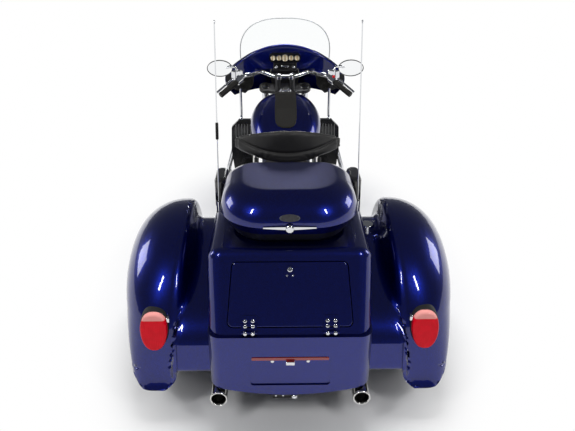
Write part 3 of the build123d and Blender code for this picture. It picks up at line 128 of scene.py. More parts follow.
tree.links.new(rays.outputs["Is Transmission Ray"], seen_through.inputs[1])
tree.links.new(seen_through.outputs[0], lift.inputs[0])
tree.links.new(fade.outputs["Result"], lift.inputs[1])
tree.links.new(lift.outputs[0], mixed.inputs["Fac"])
tree.links.new(matt.outputs["BSDF"], mixed.inputs[1])
tree.links.new(white.outputs["Emission"], mixed.inputs[2])
tree.links.new(mixed.outputs["Shader"], tree.nodes["Material Output"].inputs["Surface"])
floor.data.materials.append(floor_finish)

# The frame, axle and arms: bent and welded steel tube, shot blasted and powder coated in satin black.
# The coat has a fine orange peel and goes dull where dirt collects.


def grained_finish(name, dark, light, grain, rough, bump, metal=0.0, coat=0.0):
    """A finish whose colour, gloss and surface vary with a fine grain."""
    made = bpy.data.materials.new(name)
    made.use_nodes = True
    links = made.node_tree.links
    shader = made.node_tree.nodes["Principled BSDF"]
    shader.inputs["Metallic"].default_value = metal
    shader.inputs["Coat Weight"].default_value = coat
    shader.inputs["Coat Roughness"].default_value = 0.03
    place = made.node_tree.nodes.new("ShaderNodeTexCoord")
    speckle = made.node_tree.nodes.new("ShaderNodeTexNoise")
    speckle.inputs["Scale"].default_value = grain
    speckle.inputs["Detail"].default_value = 5
    cloud = made.node_tree.nodes.new("ShaderNodeTexNoise")
    cloud.inputs["Scale"].default_value = 7
    cloud.inputs["Detail"].default_value = 3
    tint = made.node_tree.nodes.new("ShaderNodeMix")
    tint.data_type = "RGBA"
    tint.inputs["A"].default_value = (*dark, 1)
    tint.inputs["B"].default_value = (*light, 1)
    gloss = made.node_tree.nodes.new("ShaderNodeMapRange")
    gloss.inputs["From Min"].default_value = 0.3
    gloss.inputs["From Max"].default_value = 0.7
    gloss.inputs["To Min"].default_value = rough[0]
    gloss.inputs["To Max"].default_value = rough[1]
    lumps = made.node_tree.nodes.new("ShaderNodeBump")
    lumps.inputs["Strength"].default_value = bump
    lumps.inputs["Distance"].default_value = 0.0006
    links.new(place.outputs["Object"], speckle.inputs["Vector"])
    links.new(place.outputs["Object"], cloud.inputs["Vector"])
    links.new(speckle.outputs["Fac"], tint.inputs["Factor"])
    links.new(tint.outputs["Result"], shader.inputs["Base Color"])
    links.new(cloud.outputs["Fac"], gloss.inputs["Value"])
    links.new(gloss.outputs["Result"], shader.inputs["Roughness"])
    links.new(speckle.outputs["Fac"], lumps.inputs["Height"])
    links.new(lumps.outputs["Normal"], shader.inputs["Normal"])
    return made


def wear(finish, *names):
    """Puts a finish on CAD nodes whose shape is right as it is."""
    for name in names:
        for entry in nodes[name].material_slots:
            entry.material = finish


satin_black = grained_finish("satin_black_powder_coat", (0.010, 0.010, 0.011), (0.026, 0.026, 0.028), 260,
                             (0.34, 0.55), 0.25)
wear(satin_black, "frame", "axle_housing", "swing_arms", "drive_shaft", "rear_calipers", "backrest_bracket")

# The spring units: chromed coil springs over dampers, between the swing arms and the seat rails.
# The coils are wound from round wire over the CAD damper bodies.
chrome = grained_finish("polished_chrome", (0.66, 0.67, 0.69), (0.74, 0.75, 0.77), 30, (0.04, 0.10), 0.02,
                        metal=1.0)
wear(satin_black, "spring_units")


def settle(piece, finish, body, angle=None):
    """Smooth shading, all over or up to an angle, then the finish, the body and the material slot."""
    if angle is None:
        bpy.ops.object.shade_smooth()
    else:
        bpy.ops.object.shade_smooth_by_angle(angle=math.radians(angle))
    piece.data.materials.append(finish)
    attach(piece, body)


spring_x = 0.190
spring_start = Vector((spring_x, rear_axle_y + 0.200, 0.393))
spring_end = Vector((spring_x, rear_axle_y + 0.360, 0.559))
spring_turns = 7
for side, spring_name in ((-1, "spring_coil_left"), (1, "spring_coil_right")):
    bpy.ops.object.select_all(action="DESELECT")
    bpy.ops.mesh.primitive_circle_add(vertices=10, radius=0.0055, fill_type="NGON", location=(0.036, 0, 0),
                                      rotation=(math.pi / 2, 0, 0))
    coil = bpy.context.object
    coil.name = spring_name
    bpy.ops.object.transform_apply(location=True, rotation=True)
    coil_length = (spring_end - spring_start).length
    screw = coil.modifiers.new("wind", "SCREW")
    screw.angle = 2 * math.pi * spring_turns
    screw.screw_offset = coil_length
    screw.steps = 24 * spring_turns
    screw.render_steps = 24 * spring_turns
    screw.use_normal_calculate = True
    bpy.ops.object.modifier_apply(modifier="wind")
    lean = (spring_end - spring_start).to_track_quat("Z", "Y").to_matrix().to_4x4()
    coil.data.transform(Matrix.Translation((side * spring_x, spring_start.y, spring_start.z)) @ lean)
    settle(coil, chrome, "chassis")

# The tyres: black road rubber with a ribbed tread, spun as one profile round the axle.
# The grooves round the tread and the cuts across its shoulders are sunk into the crown.
rubber = grained_finish("tyre_rubber", (0.010, 0.010, 0.010), (0.024, 0.023, 0.022), 420, (0.62, 0.88), 0.5)


def pick_faces(piece, wanted):
    """Opens a piece in edit mode with only the wanted faces selected."""
    bpy.ops.object.mode_set(mode="EDIT")
    bpy.ops.mesh.select_mode(type="FACE")
    bpy.ops.mesh.select_all(action="DESELECT")
    bpy.ops.object.mode_set(mode="OBJECT")
    for face in piece.data.polygons:
        face.select = wanted(face)
    bpy.ops.object.mode_set(mode="EDIT")


def road_tyre(name, node, body, groove_xs, steps, cut_every):
    """A tyre in its CAD node's place; groove_xs are the grooves' distances from the middle."""
    low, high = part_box(node)
    hub = (low + high) / 2
    outer = (high.z - low.z) / 2
    half = (high.x - low.x) / 2
    rim = 0.205 if node == "front_tyre" else 0.192
    crown_drop = 0.030 if node == "front_tyre" else 0.014
    tread_half = half * 0.86
    marks = [-tread_half]
    for x in groove_xs:
        marks += [x - 0.0035, x + 0.0035]
    marks.append(tread_half)
    crown = [(x, outer - crown_drop * (x / tread_half) ** 2) for x in marks]
    side = [(half * 0.80, rim), (half * 0.93, rim + 0.012), (half * 0.985, rim + (outer - rim) * 0.35),
            (half, rim + (outer - rim) * 0.52), (half * 0.985, rim + (outer - rim) * 0.70)]
    profile = [(-x, r) for x, r in side] + crown + list(reversed(side))
    mesh = bpy.data.meshes.new(name)
    mesh.from_pydata([(hub.x + x, hub.y, hub.z + r) for x, r in profile],
                     [(i, i + 1) for i in range(len(profile) - 1)], [])
    tyre = bpy.data.objects.new(name, mesh)
    scene.collection.objects.link(tyre)
    bpy.ops.object.select_all(action="DESELECT")
    bpy.context.view_layer.objects.active = tyre
    tyre.select_set(True)
    bpy.ops.object.mode_set(mode="EDIT")
    bpy.ops.mesh.select_all(action="SELECT")
    bpy.ops.mesh.spin(steps=steps, angle=2 * math.pi, center=hub, axis=(1, 0, 0))
    bpy.ops.mesh.select_all(action="SELECT")
    bpy.ops.mesh.remove_doubles(threshold=0.0002)
    bpy.ops.mesh.normals_make_consistent(inside=False)
    bpy.ops.object.mode_set(mode="OBJECT")

    def cut_away(face):
        x = face.center.x - hub.x
        turn = math.atan2(face.center.y - hub.y, face.center.z - hub.z) / (2 * math.pi) * steps
        in_groove = any(abs(x - g) < 0.002 for g in groove_xs)
        on_shoulder = abs(x) > abs(groove_xs[0]) + 0.003 and abs(x) < tread_half
        return in_groove or (on_shoulder and round(turn) % cut_every == 0)

    pick_faces(tyre, cut_away)
    bpy.ops.mesh.extrude_region_shrink_fatten(TRANSFORM_OT_shrink_fatten={"value": -0.006})
    bpy.ops.object.mode_set(mode="OBJECT")
    settle(tyre, rubber, body, 32)
    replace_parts(tyre, node)


road_tyre("tyre_front", "front_tyre", "front_wheel", (-0.034, 0, 0.034), 180, 4)
road_tyre("tyre_left", "rear_tyre_left", "rear_wheel_left", (-0.058, -0.020, 0.020, 0.058), 200, 4)
road_tyre("tyre_right", "rear_tyre_right", "rear_wheel_right", (-0.058, -0.020, 0.020, 0.058), 200, 4)

# The wheels: five-spoke castings in bright machined alloy, with drilled steel brake discs beside them.
# The alloy keeps the fine lines of turning, and the calipers are bare cast alloy.
bright_alloy = grained_finish("bright_cast_alloy", (0.50, 0.51, 0.53), (0.64, 0.65, 0.67), 150,
                              (0.20, 0.34), 0.12, metal=1.0)
disc_steel = grained_finish("turned_disc_steel", (0.34, 0.34, 0.35), (0.48, 0.48, 0.49), 210,
                            (0.24, 0.38), 0.15, metal=1.0)
dull_alloy = grained_finish("sand_cast_alloy", (0.30, 0.31, 0.32), (0.44, 0.45, 0.46), 340, (0.36, 0.54),
                            0.4, metal=1.0)
wear(bright_alloy, "front_rim", "rear_rim_left", "rear_rim_right")
wear(disc_steel, "front_discs")
wear(dull_alloy, "front_calipers")
wear(chrome, "front_axle")

# The engine: a cast crankcase with two finned barrels, polished side covers and a black radiator.
# The barrels are sand cast and left matt, the covers are buffed and chromed.
wear(dull_alloy, "engine_crankcase", "engine_cylinders")
wear(chrome, "engine_covers")
wear(satin_black, "radiator")

# The exhausts: chromed steel headers and mufflers, with turned tips that show below the bumper.
# Heat has left the chrome faintly gold, and the bore is sooty.
hot_chrome = grained_finish("heat_tinted_chrome", (0.60, 0.59, 0.57), (0.72, 0.71, 0.69), 18,
                            (0.06, 0.16), 0.02, metal=1.0)
wear(hot_chrome, "exhausts")
soot = grained_finish("exhaust_soot", (0.012, 0.012, 0.011), (0.040, 0.037, 0.034), 300, (0.85, 0.95), 0.4)
tip_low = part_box("exhausts")[0]
tip_x, tip_z = 0.300, 0.178
for side, tip_name in ((-1, "tip_bore_left"), (1, "tip_bore_right")):
    bpy.ops.object.select_all(action="DESELECT")
    bpy.ops.mesh.primitive_circle_add(vertices=40, radius=0.0315, fill_type="NGON",
                                      location=(side * tip_x, tip_low.y + 0.055, tip_z),
                                      rotation=(math.pi / 2, 0, 0))
    bore = bpy.context.object
    bore.name = tip_name
    bpy.ops.object.transform_apply(location=True, rotation=True)
    bpy.ops.object.mode_set(mode="EDIT")
    bpy.ops.mesh.select_all(action="SELECT")
    bpy.ops.mesh.inset(thickness=0.004)
    bpy.ops.mesh.extrude_region_move(TRANSFORM_OT_translate={"value": (0, 0.030, 0)})
    bpy.ops.object.mode_set(mode="OBJECT")
    bore.data.materials.append(soot)
    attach(bore, "chassis")
for side, lip_name in ((-1, "tip_lip_left"), (1, "tip_lip_right")):
    bpy.ops.object.select_all(action="DESELECT")
    bpy.ops.mesh.primitive_torus_add(major_segments=56, minor_segments=12, major_radius=0.0335,
                                     minor_radius=0.0042,
                                     location=(side * tip_x, tip_low.y + 0.0065, tip_z),
                                     rotation=(math.pi / 2, 0, 0))
    lip = bpy.context.object
    lip.name = lip_name
    lip.scale = (1, 1, 1.5)
    bpy.ops.object.transform_apply(location=True, rotation=True, scale=True)
    settle(lip, hot_chrome, "chassis")

# The painted shells: moulded glass-fibre body, fenders, bumper and lids with steel tank and fairing.
# They are sprayed in deep blue with metal flake and finished in a thick clear coat that is polished flat.
paint = bpy.data.materials.new("deep_blue_flake_paint")
paint.use_nodes = True
tree = paint.node_tree
coat = tree.nodes["Principled BSDF"]
coat.inputs["Metallic"].default_value = 0.95
coat.inputs["Roughness"].default_value = 0.33
coat.inputs["Coat Weight"].default_value = 1.0
coat.inputs["Coat Roughness"].default_value = 0.015
coat.inputs["Coat IOR"].default_value = 1.5
spot = tree.nodes.new("ShaderNodeTexCoord")
flake = tree.nodes.new("ShaderNodeTexVoronoi")
flake.inputs["Scale"].default_value = 1400
flake_shade = tree.nodes.new("ShaderNodeSeparateColor")
drift = tree.nodes.new("ShaderNodeTexNoise")
drift.inputs["Scale"].default_value = 2.2
drift.inputs["Detail"].default_value = 2
depth = tree.nodes.new("ShaderNodeMix")
depth.data_type = "RGBA"
depth.inputs["A"].default_value = (0.0012, 0.0030, 0.078, 1)
depth.inputs["B"].default_value = (0.0016, 0.0060, 0.130, 1)
sparkle = tree.nodes.new("ShaderNodeMix")
sparkle.data_type = "RGBA"
sparkle.inputs["B"].default_value = (0.006, 0.036, 0.60, 1)
glint = tree.nodes.new("ShaderNodeMapRange")
glint.inputs["From Min"].default_value = 0.55
glint.inputs["From Max"].default_value = 1.0
glint.inputs["To Max"].default_value = 0.42
tilt = tree.nodes.new("ShaderNodeBump")
tilt.inputs["Strength"].default_value = 0.10
tilt.inputs["Distance"].default_value = 0.0002
tree.links.new(spot.outputs["Object"], flake.inputs["Vector"])
tree.links.new(spot.outputs["Object"], drift.inputs["Vector"])
tree.links.new(flake.outputs["Color"], flake_shade.inputs["Color"])
tree.links.new(flake_shade.outputs["Red"], glint.inputs["Value"])
tree.links.new(drift.outputs["Fac"], depth.inputs["Factor"])
tree.links.new(depth.outputs["Result"], sparkle.inputs["A"])
tree.links.new(glint.outputs["Result"], sparkle.inputs["Factor"])
tree.links.new(sparkle.outputs["Result"], coat.inputs["Base Color"])
tree.links.new(flake_shade.outputs["Green"], tilt.inputs["Height"])
tree.links.new(tilt.outputs["Normal"], coat.inputs["Normal"])
wear(paint, "body_shell", "quarter_panels", "bumper", "boot_door", "topbox_lid", "fuel_tank",
     "side_covers", "fairing", "front_fender")
wear(satin_black, "boot_floor")


def copy_of(node, name):
    """A copy of a CAD node's mesh as a new piece, its loose triangles joined."""
    made = bpy.data.objects.new(name, nodes[node].data.copy())
    scene.collection.objects.link(made)
    made.data.materials.clear()
    bpy.ops.object.select_all(action="DESELECT")
    bpy.context.view_layer.objects.active = made
    made.select_set(True)
    bpy.ops.object.mode_set(mode="EDIT")
    bpy.ops.mesh.select_all(action="SELECT")
    bpy.ops.mesh.remove_doubles(threshold=0.00005)
    bpy.ops.mesh.normals_make_consistent(inside=False)
    bpy.ops.object.mode_set(mode="OBJECT")
    return made


# The fenders: one-piece glass-fibre wings over the rear wheels, bolted to the body and painted with it.
# Each tail is drawn outwards, so that its outer edge runs straight down to a broad tip.
tail_inner_x = 0.478
tail_cut_z = 0.2502
tail_cut_in, tail_cut_out = 0.4848, 0.6295
tail_edge_x = 0.652


def tail_back(x):
    """How far back the fender's tail reaches at x, just above the cut of its tip."""
    return nodes["fenders"].ray_cast((x, rear_axle_y - 0.9, 0.254), (0, 1, 0))[1].y


fender = copy_of("fenders", "fender_shells")
for point in fender.data.vertices:
    side = math.copysign(1, point.co.x)
    x, y, z = abs(point.co.x), point.co.y, point.co.z
    if x < tail_inner_x or z > 0.450 or y > rear_axle_y - 0.25:
        continue
    if z < tail_cut_z and tail_cut_in < x < tail_cut_out:
        spread = (x - tail_cut_in) / (tail_cut_out - tail_cut_in)
        wider = tail_inner_x + 0.002 + spread * (tail_edge_x - tail_inner_x - 0.002)
        point.co.y = y + tail_back(wider) - tail_back(x)
        x = wider
    stretch = 1 + 0.19 * min((0.450 - z) / 0.200, 1) ** 1.5
    point.co.x = side * (tail_inner_x + (x - tail_inner_x) * stretch)
bpy.ops.object.mode_set(mode="EDIT")
bpy.ops.mesh.select_all(action="SELECT")
bpy.ops.mesh.dissolve_degenerate(threshold=0.00002)
bpy.ops.object.mode_set(mode="OBJECT")
settle(fender, paint, "chassis", 38)
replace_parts(fender, "fenders")

# The tail lamps: moulded lenses on the back of each fender, red below and clear along the top.
# Each sits in a black rubber gasket, with a chromed clip on its inner side.
lens = bpy.data.materials.new("tail_lamp_lens")
lens.use_nodes = True
tree = lens.node_tree
shell = tree.nodes["Principled BSDF"]
shell.inputs["Roughness"].default_value = 0.30
shell.inputs["Specular IOR Level"].default_value = 0.06
shell.inputs["Coat Weight"].default_value = 0.25
shell.inputs["Coat Roughness"].default_value = 0.02
spot = tree.nodes.new("ShaderNodeTexCoord")
split = tree.nodes.new("ShaderNodeSeparateXYZ")
strip = tree.nodes.new("ShaderNodeMapRange")
strip.inputs["From Min"].default_value = 0.4885
strip.inputs["From Max"].default_value = 0.4915
mottle = tree.nodes.new("ShaderNodeTexNoise")
mottle.inputs["Scale"].default_value = 38
red_depth = tree.nodes.new("ShaderNodeMix")
red_depth.data_type = "RGBA"
red_depth.inputs["A"].default_value = (0.62, 0.0010, 0.010, 1)
red_depth.inputs["B"].default_value = (0.84, 0.002, 0.018, 1)
lens_tone = tree.nodes.new("ShaderNodeMix")
lens_tone.data_type = "RGBA"
lens_tone.inputs["B"].default_value = (0.84, 0.34, 0.31, 1)
flutes = tree.nodes.new("ShaderNodeTexWave")
flutes.inputs["Scale"].default_value = 42
ridge = tree.nodes.new("ShaderNodeBump")
ridge.inputs["Strength"].default_value = 0.35
ridge.inputs["Distance"].default_value = 0.001
tree.links.new(spot.outputs["Object"], split.inputs["Vector"])
tree.links.new(split.outputs["Z"], strip.inputs["Value"])
tree.links.new(spot.outputs["Object"], mottle.inputs["Vector"])
tree.links.new(mottle.outputs["Fac"], red_depth.inputs["Factor"])
tree.links.new(red_depth.outputs["Result"], lens_tone.inputs["A"])
tree.links.new(strip.outputs["Result"], lens_tone.inputs["Factor"])
tree.links.new(lens_tone.outputs["Result"], shell.inputs["Base Color"])
tree.links.new(spot.outputs["Object"], flutes.inputs["Vector"])
tree.links.new(flutes.outputs["Fac"], ridge.inputs["Height"])
tree.links.new(ridge.outputs["Normal"], shell.inputs["Normal"])
gasket_rubber = grained_finish("gasket_rubber", (0.008, 0.008, 0.008), (0.018, 0.018, 0.018), 300,
                               (0.5, 0.7), 0.2)
lamp_low, lamp_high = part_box("tail_lamps")
lamp_x = lamp_high.x - 0.0585


def round_edges(piece, width, segments):
    """Rounds every edge of the active piece."""
    rounding = piece.modifiers.new("rounding", "BEVEL")
    rounding.width = width
    rounding.segments = segments
    bpy.ops.object.modifier_apply(modifier="rounding")


def egg_block(name, side, grow, ahead, finish):
    """An egg-shaped block on a tail lamp's leaning back plane, grown all round and moved ahead of it."""
    bpy.ops.object.select_all(action="DESELECT")
    bpy.ops.mesh.primitive_circle_add(vertices=64, radius=1, fill_type="NGON", location=(0, 0, 0),
                                      rotation=(math.pi / 2, 0, 0))
    egg = bpy.context.object
    egg.name = name
    bpy.ops.object.transform_apply(rotation=True)
    for point in egg.data.vertices:
        across, up = point.co.x, point.co.z
        fuller = math.copysign(abs(across) ** 0.82, across) * (1 + 0.10 * up)
        z = 0.438 + (0.078 + grow) * math.copysign(abs(up) ** 0.92, up)
        point.co = (side * lamp_x + (0.056 + grow) * fuller,
                    rear_axle_y - 0.532 + (z - 0.340) * 0.253 + ahead, z)
    bpy.ops.object.mode_set(mode="EDIT")
    bpy.ops.mesh.select_all(action="SELECT")
    bpy.ops.mesh.extrude_region_move(TRANSFORM_OT_translate={"value": (0, 0.075, 0)})
    bpy.ops.mesh.select_all(action="SELECT")
    bpy.ops.mesh.normals_make_consistent(inside=False)
    bpy.ops.object.mode_set(mode="OBJECT")
    round_edges(egg, 0.009, 4)
    settle(egg, finish, "chassis", 40)
    return egg


for side, side_name in ((-1, "left"), (1, "right")):
    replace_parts(egg_block("lamp_lens_" + side_name, side, 0, 0, lens), "tail_lamps")
    egg_block("lamp_gasket_" + side_name, side, 0.004, 0.022, gasket_rubber)


def block(name, size, place):
    """A square block of a size at a place, to be shaped further."""
    bpy.ops.object.select_all(action="DESELECT")
    bpy.ops.mesh.primitive_cube_add(size=1, location=place)
    made = bpy.context.object
    made.name = name
    made.scale = size
    bpy.ops.object.transform_apply(location=True, scale=True)
    return made


for side, clip_name in ((-1, "lamp_clip_left"), (1, "lamp_clip_right")):
    clip = block(clip_name, (0.016, 0.034, 0.026), (side * (lamp_x - 0.060), lamp_low.y + 0.040, 0.487))
    round_edges(clip, 0.005, 3)
    settle(clip, chrome, "chassis", 40)

# The boot fittings: two painted hinges with six chromed bolt heads each, and a chromed latch button.
# The heads are domed; the lower two of each hinge stand on its knuckles.
wear(paint, "boot_fittings", "boot_hinge_fixed")
door_lean = Vector((0, 0.110, 0.255)).normalized()
door_out = Vector((0, -door_lean.z, door_lean.y))


def door_point(x, z, out):
    """A point on the boot door's face, out from it by a distance."""
    return Vector((x, rear_axle_y - 0.580 + (z - 0.502) * 110 / 255, z)) + door_out * out


def domed_heads(name, radius, height, places, facing, finish, body):
    """Round heads modelled once and copied to their places, joined as one piece."""
    heads = []
    for place in places:
        if not heads:
            bpy.ops.object.select_all(action="DESELECT")
            bpy.ops.mesh.primitive_cylinder_add(vertices=20, radius=radius, depth=height,
                                                location=(0, 0, height / 2))
            head = bpy.context.object
            bpy.ops.object.transform_apply(location=True)
            pick_faces(head, lambda face: face.normal.z > 0.9)
            bpy.ops.mesh.bevel(offset=height * 0.6, segments=3)
            bpy.ops.object.mode_set(mode="OBJECT")
            pattern = head.data.copy()
        else:
            head = bpy.data.objects.new(name, pattern.copy())
            scene.collection.objects.link(head)
        turn = Vector(facing).to_track_quat("Z", "Y").to_matrix().to_4x4()
        head.data.transform(Matrix.Translation(place) @ turn)
        heads.append(head)
    bpy.ops.object.select_all(action="DESELECT")
    for head in heads:
        head.select_set(True)
    bpy.context.view_layer.objects.active = heads[0]
    if len(heads) > 1:
        bpy.ops.object.join()
    joined = heads[0]
    joined.name = name
    settle(joined, finish, body, 35)
    return joined


hinge_xs = [x + across for x in (-0.165, 0.165) for across in (-0.0155, 0.0155)]
knuckle_y = rear_axle_y - 0.5945
domed_heads("hinge_bolts", 0.0085, 0.007,
            [door_point(x, z, 0.0038) for x in hinge_xs for z in (0.521, 0.541)], door_out,
            chrome, "boot_door")
domed_heads("knuckle_bolts", 0.0085, 0.007, [(x, knuckle_y, 0.501) for x in hinge_xs], (0, -1, 0.2), chrome,
            "boot_door")
domed_heads("latch_button", 0.011, 0.007, [door_point(0, 0.731, 0.0078)], door_out, chrome, "boot_door")
domed_heads("latch_rivets", 0.004, 0.003, [door_point(x, 0.708, 0) for x in (-0.012, 0.012)], door_out,
            chrome, "boot_door")

# The bumper's plate place: a shallow recess with a red reflector bar over it, left without a plate.
# A small chromed lamp hangs below the bar, between two plate bolts.
reflector = grained_finish("dark_red_reflector", (0.20, 0.004, 0.006), (0.38, 0.008, 0.012), 900,
                           (0.12, 0.22), 0.3, coat=1.0)
wear(reflector, "plate_reflector")
recess_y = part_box("bumper")[0].y + 0.006
domed_heads("plate_bolts", 0.008, 0.006, [(x, recess_y, 0.365) for x in (-0.073, 0.073)], (0, -1, 0),
            chrome, "chassis")


def sink_face(piece, wanted, rim, move):
    """Leaves a rim round the wanted face and moves the rest of it in."""
    pick_faces(piece, wanted)
    bpy.ops.mesh.inset(thickness=rim)
    bpy.ops.mesh.extrude_region_move(TRANSFORM_OT_translate={"value": move})
    bpy.ops.object.mode_set(mode="OBJECT")


plate_lamp = block("plate_lamp", (0.036, 0.020, 0.017), (0, recess_y - 0.009, 0.3640))
sink_face(plate_lamp, lambda face: face.normal.z < -0.9, 0.004, (0, 0, 0.004))
round_edges(plate_lamp, 0.003, 3)
settle(plate_lamp, chrome, "chassis", 40)

# The tow socket: a pressed steel bracket, bolted under the bumper's lower edge and coated black.
# A chromed wiring socket and two bolt heads stand on it.
socket_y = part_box("bumper")[0].y
tow_bracket = block("tow_bracket", (0.110, 0.018, 0.028), (-0.020, socket_y + 0.016, 0.176))
sink_face(tow_bracket, lambda face: face.normal.y < -0.9, 0.005, (0, 0.004, 0))
round_edges(tow_bracket, 0.002, 2)
tow_bracket.data.materials.append(satin_black)
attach(tow_bracket, "chassis")
domed_heads("tow_socket", 0.013, 0.014, [(0.018, socket_y + 0.009, 0.174)], (0, -1, 0), chrome, "chassis")
domed_heads("tow_bolts", 0.005, 0.005, [(x, socket_y + 0.010, 0.176) for x in (-0.060, -0.030)],
            (0, -1, 0), chrome, "chassis")

# The top box: a blue lid on a base whose lower half is black, closed by a chromed bar with a round boss.
# A small plain oval plate with a chromed rim is fixed to the lid above it.


def black_below(name, finish, axis, edge_at):
    """A finish that turns to satin black below a place along an axis."""
    made = finish.copy()
    made.name = name
    tree = made.node_tree
    black_part = tree.nodes.new("ShaderNodeBsdfPrincipled")
    black_part.inputs["Base Color"].default_value = (0.008, 0.008, 0.009, 1)
    black_part.inputs["Roughness"].default_value = 0.35
    spot = tree.nodes.new("ShaderNodeTexCoord")
    split = tree.nodes.new("ShaderNodeSeparateXYZ")
    edge = tree.nodes.new("ShaderNodeMath")
    edge.operation = "GREATER_THAN"
    edge.inputs[1].default_value = edge_at
    both = tree.nodes.new("ShaderNodeMixShader")
    tree.links.new(spot.outputs["Object"], split.inputs["Vector"])
    tree.links.new(split.outputs[axis], edge.inputs[0])
    tree.links.new(edge.outputs[0], both.inputs["Fac"])
    tree.links.new(black_part.outputs["BSDF"], both.inputs[1])
    tree.links.new(tree.nodes["Principled BSDF"].outputs["BSDF"], both.inputs[2])
    tree.links.new(both.outputs["Shader"], tree.nodes["Material Output"].inputs["Surface"])
    return made


wear(black_below("box_base_paint", paint, "Z", 0.850), "topbox_base")
wear(chrome, "lid_hinges", "topbox_hinge_lugs")
latch_low, latch_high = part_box("topbox_latch")
latch_z = (latch_low.z + latch_high.z) / 2
latch_half = latch_high.x
wings = block("latch_wings", (2 * latch_half, latch_high.y - latch_low.y, 0.013),
              (0, (latch_low.y + latch_high.y) / 2, latch_z))
bpy.ops.object.mode_set(mode="EDIT")
bpy.ops.mesh.select_all(action="SELECT")
bpy.ops.mesh.subdivide(number_cuts=14)
bpy.ops.object.mode_set(mode="OBJECT")
for point in wings.data.vertices:
    slim = 1 - 0.62 * (abs(point.co.x) / latch_half) ** 1.4
    point.co.z = latch_z + (point.co.z - latch_z) * slim
    point.co.y = latch_high.y + (point.co.y - latch_high.y) * (0.35 + 0.65 * slim)
settle(wings, chrome, "topbox_lid", 40)
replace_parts(wings, "topbox_latch")
domed_heads("latch_boss", 0.018, 0.012, [(0, latch_low.y + 0.004, latch_z - 0.002)], (0, -1, 0.1), chrome,
            "topbox_lid")

badge_field = grained_finish("badge_field", (0.10, 0.10, 0.11), (0.20, 0.20, 0.21), 120, (0.25, 0.4), 0.2,
                             metal=0.8)
lid_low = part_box("topbox_lid")[0]
badge_ray = (0, lid_low.y - 0.5, lid_low.z + 0.040)
badge_place, badge_facing = nodes["topbox_lid"].ray_cast(badge_ray, (0, 1, 0))[1:3]
bpy.ops.object.select_all(action="DESELECT")
bpy.ops.mesh.primitive_cylinder_add(vertices=48, radius=0.5, depth=1, location=(0, 0, 0))
badge = bpy.context.object
badge.name = "lid_oval_plate"
badge.scale = (0.082, 0.030, 0.010)
bpy.ops.object.transform_apply(scale=True)
sink_face(badge, lambda face: face.normal.z > 0.9, 0.004, (0, 0, -0.0025))
badge.data.materials.append(chrome)
badge.data.materials.append(badge_field)
for face in badge.data.polygons:
    if face.normal.z > 0.9 and abs(face.center.x) < 0.03:
        face.material_index = 1
badge_turn = math.atan2(-badge_facing.y, badge_facing.z)
badge.data.transform(Matrix.Translation(badge_place) @ Matrix.Rotation(badge_turn, 4, "X"))
bpy.ops.object.shade_smooth_by_angle(angle=math.radians(35))
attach(badge, "topbox_lid")

# The seats and the backrest: black vinyl sewn over moulded foam on steel pans.
# The covers are pulled tight, with sewn channels across the seats.
# A roll runs along the backrest's lower edge.
vinyl = bpy.data.materials.new("black_grained_vinyl")
vinyl.use_nodes = True
tree = vinyl.node_tree
hide = tree.nodes["Principled BSDF"]
hide.inputs["Specular IOR Level"].default_value = 0.45
spot = tree.nodes.new("ShaderNodeTexCoord")
pores = tree.nodes.new("ShaderNodeTexVoronoi")
pores.inputs["Scale"].default_value = 420
pores.feature = "DISTANCE_TO_EDGE"
patches = tree.nodes.new("ShaderNodeTexNoise")
patches.inputs["Scale"].default_value = 9
patches.inputs["Detail"].default_value = 5
tone = tree.nodes.new("ShaderNodeMix")
tone.data_type = "RGBA"
tone.inputs["A"].default_value = (0.011, 0.011, 0.011, 1)
tone.inputs["B"].default_value = (0.030, 0.029, 0.028, 1)
sheen = tree.nodes.new("ShaderNodeMapRange")
sheen.inputs["From Min"].default_value = 0.3
sheen.inputs["From Max"].default_value = 0.7
sheen.inputs["To Min"].default_value = 0.36
sheen.inputs["To Max"].default_value = 0.54
grain = tree.nodes.new("ShaderNodeBump")
grain.inputs["Strength"].default_value = 0.30
grain.inputs["Distance"].default_value = 0.0006
tree.links.new(spot.outputs["Object"], pores.inputs["Vector"])
tree.links.new(spot.outputs["Object"], patches.inputs["Vector"])
tree.links.new(patches.outputs["Fac"], tone.inputs["Factor"])
tree.links.new(tone.outputs["Result"], hide.inputs["Base Color"])
tree.links.new(patches.outputs["Fac"], sheen.inputs["Value"])
tree.links.new(sheen.outputs["Result"], hide.inputs["Roughness"])
tree.links.new(pores.outputs["Distance"], grain.inputs["Height"])
tree.links.new(grain.outputs["Normal"], hide.inputs["Normal"])


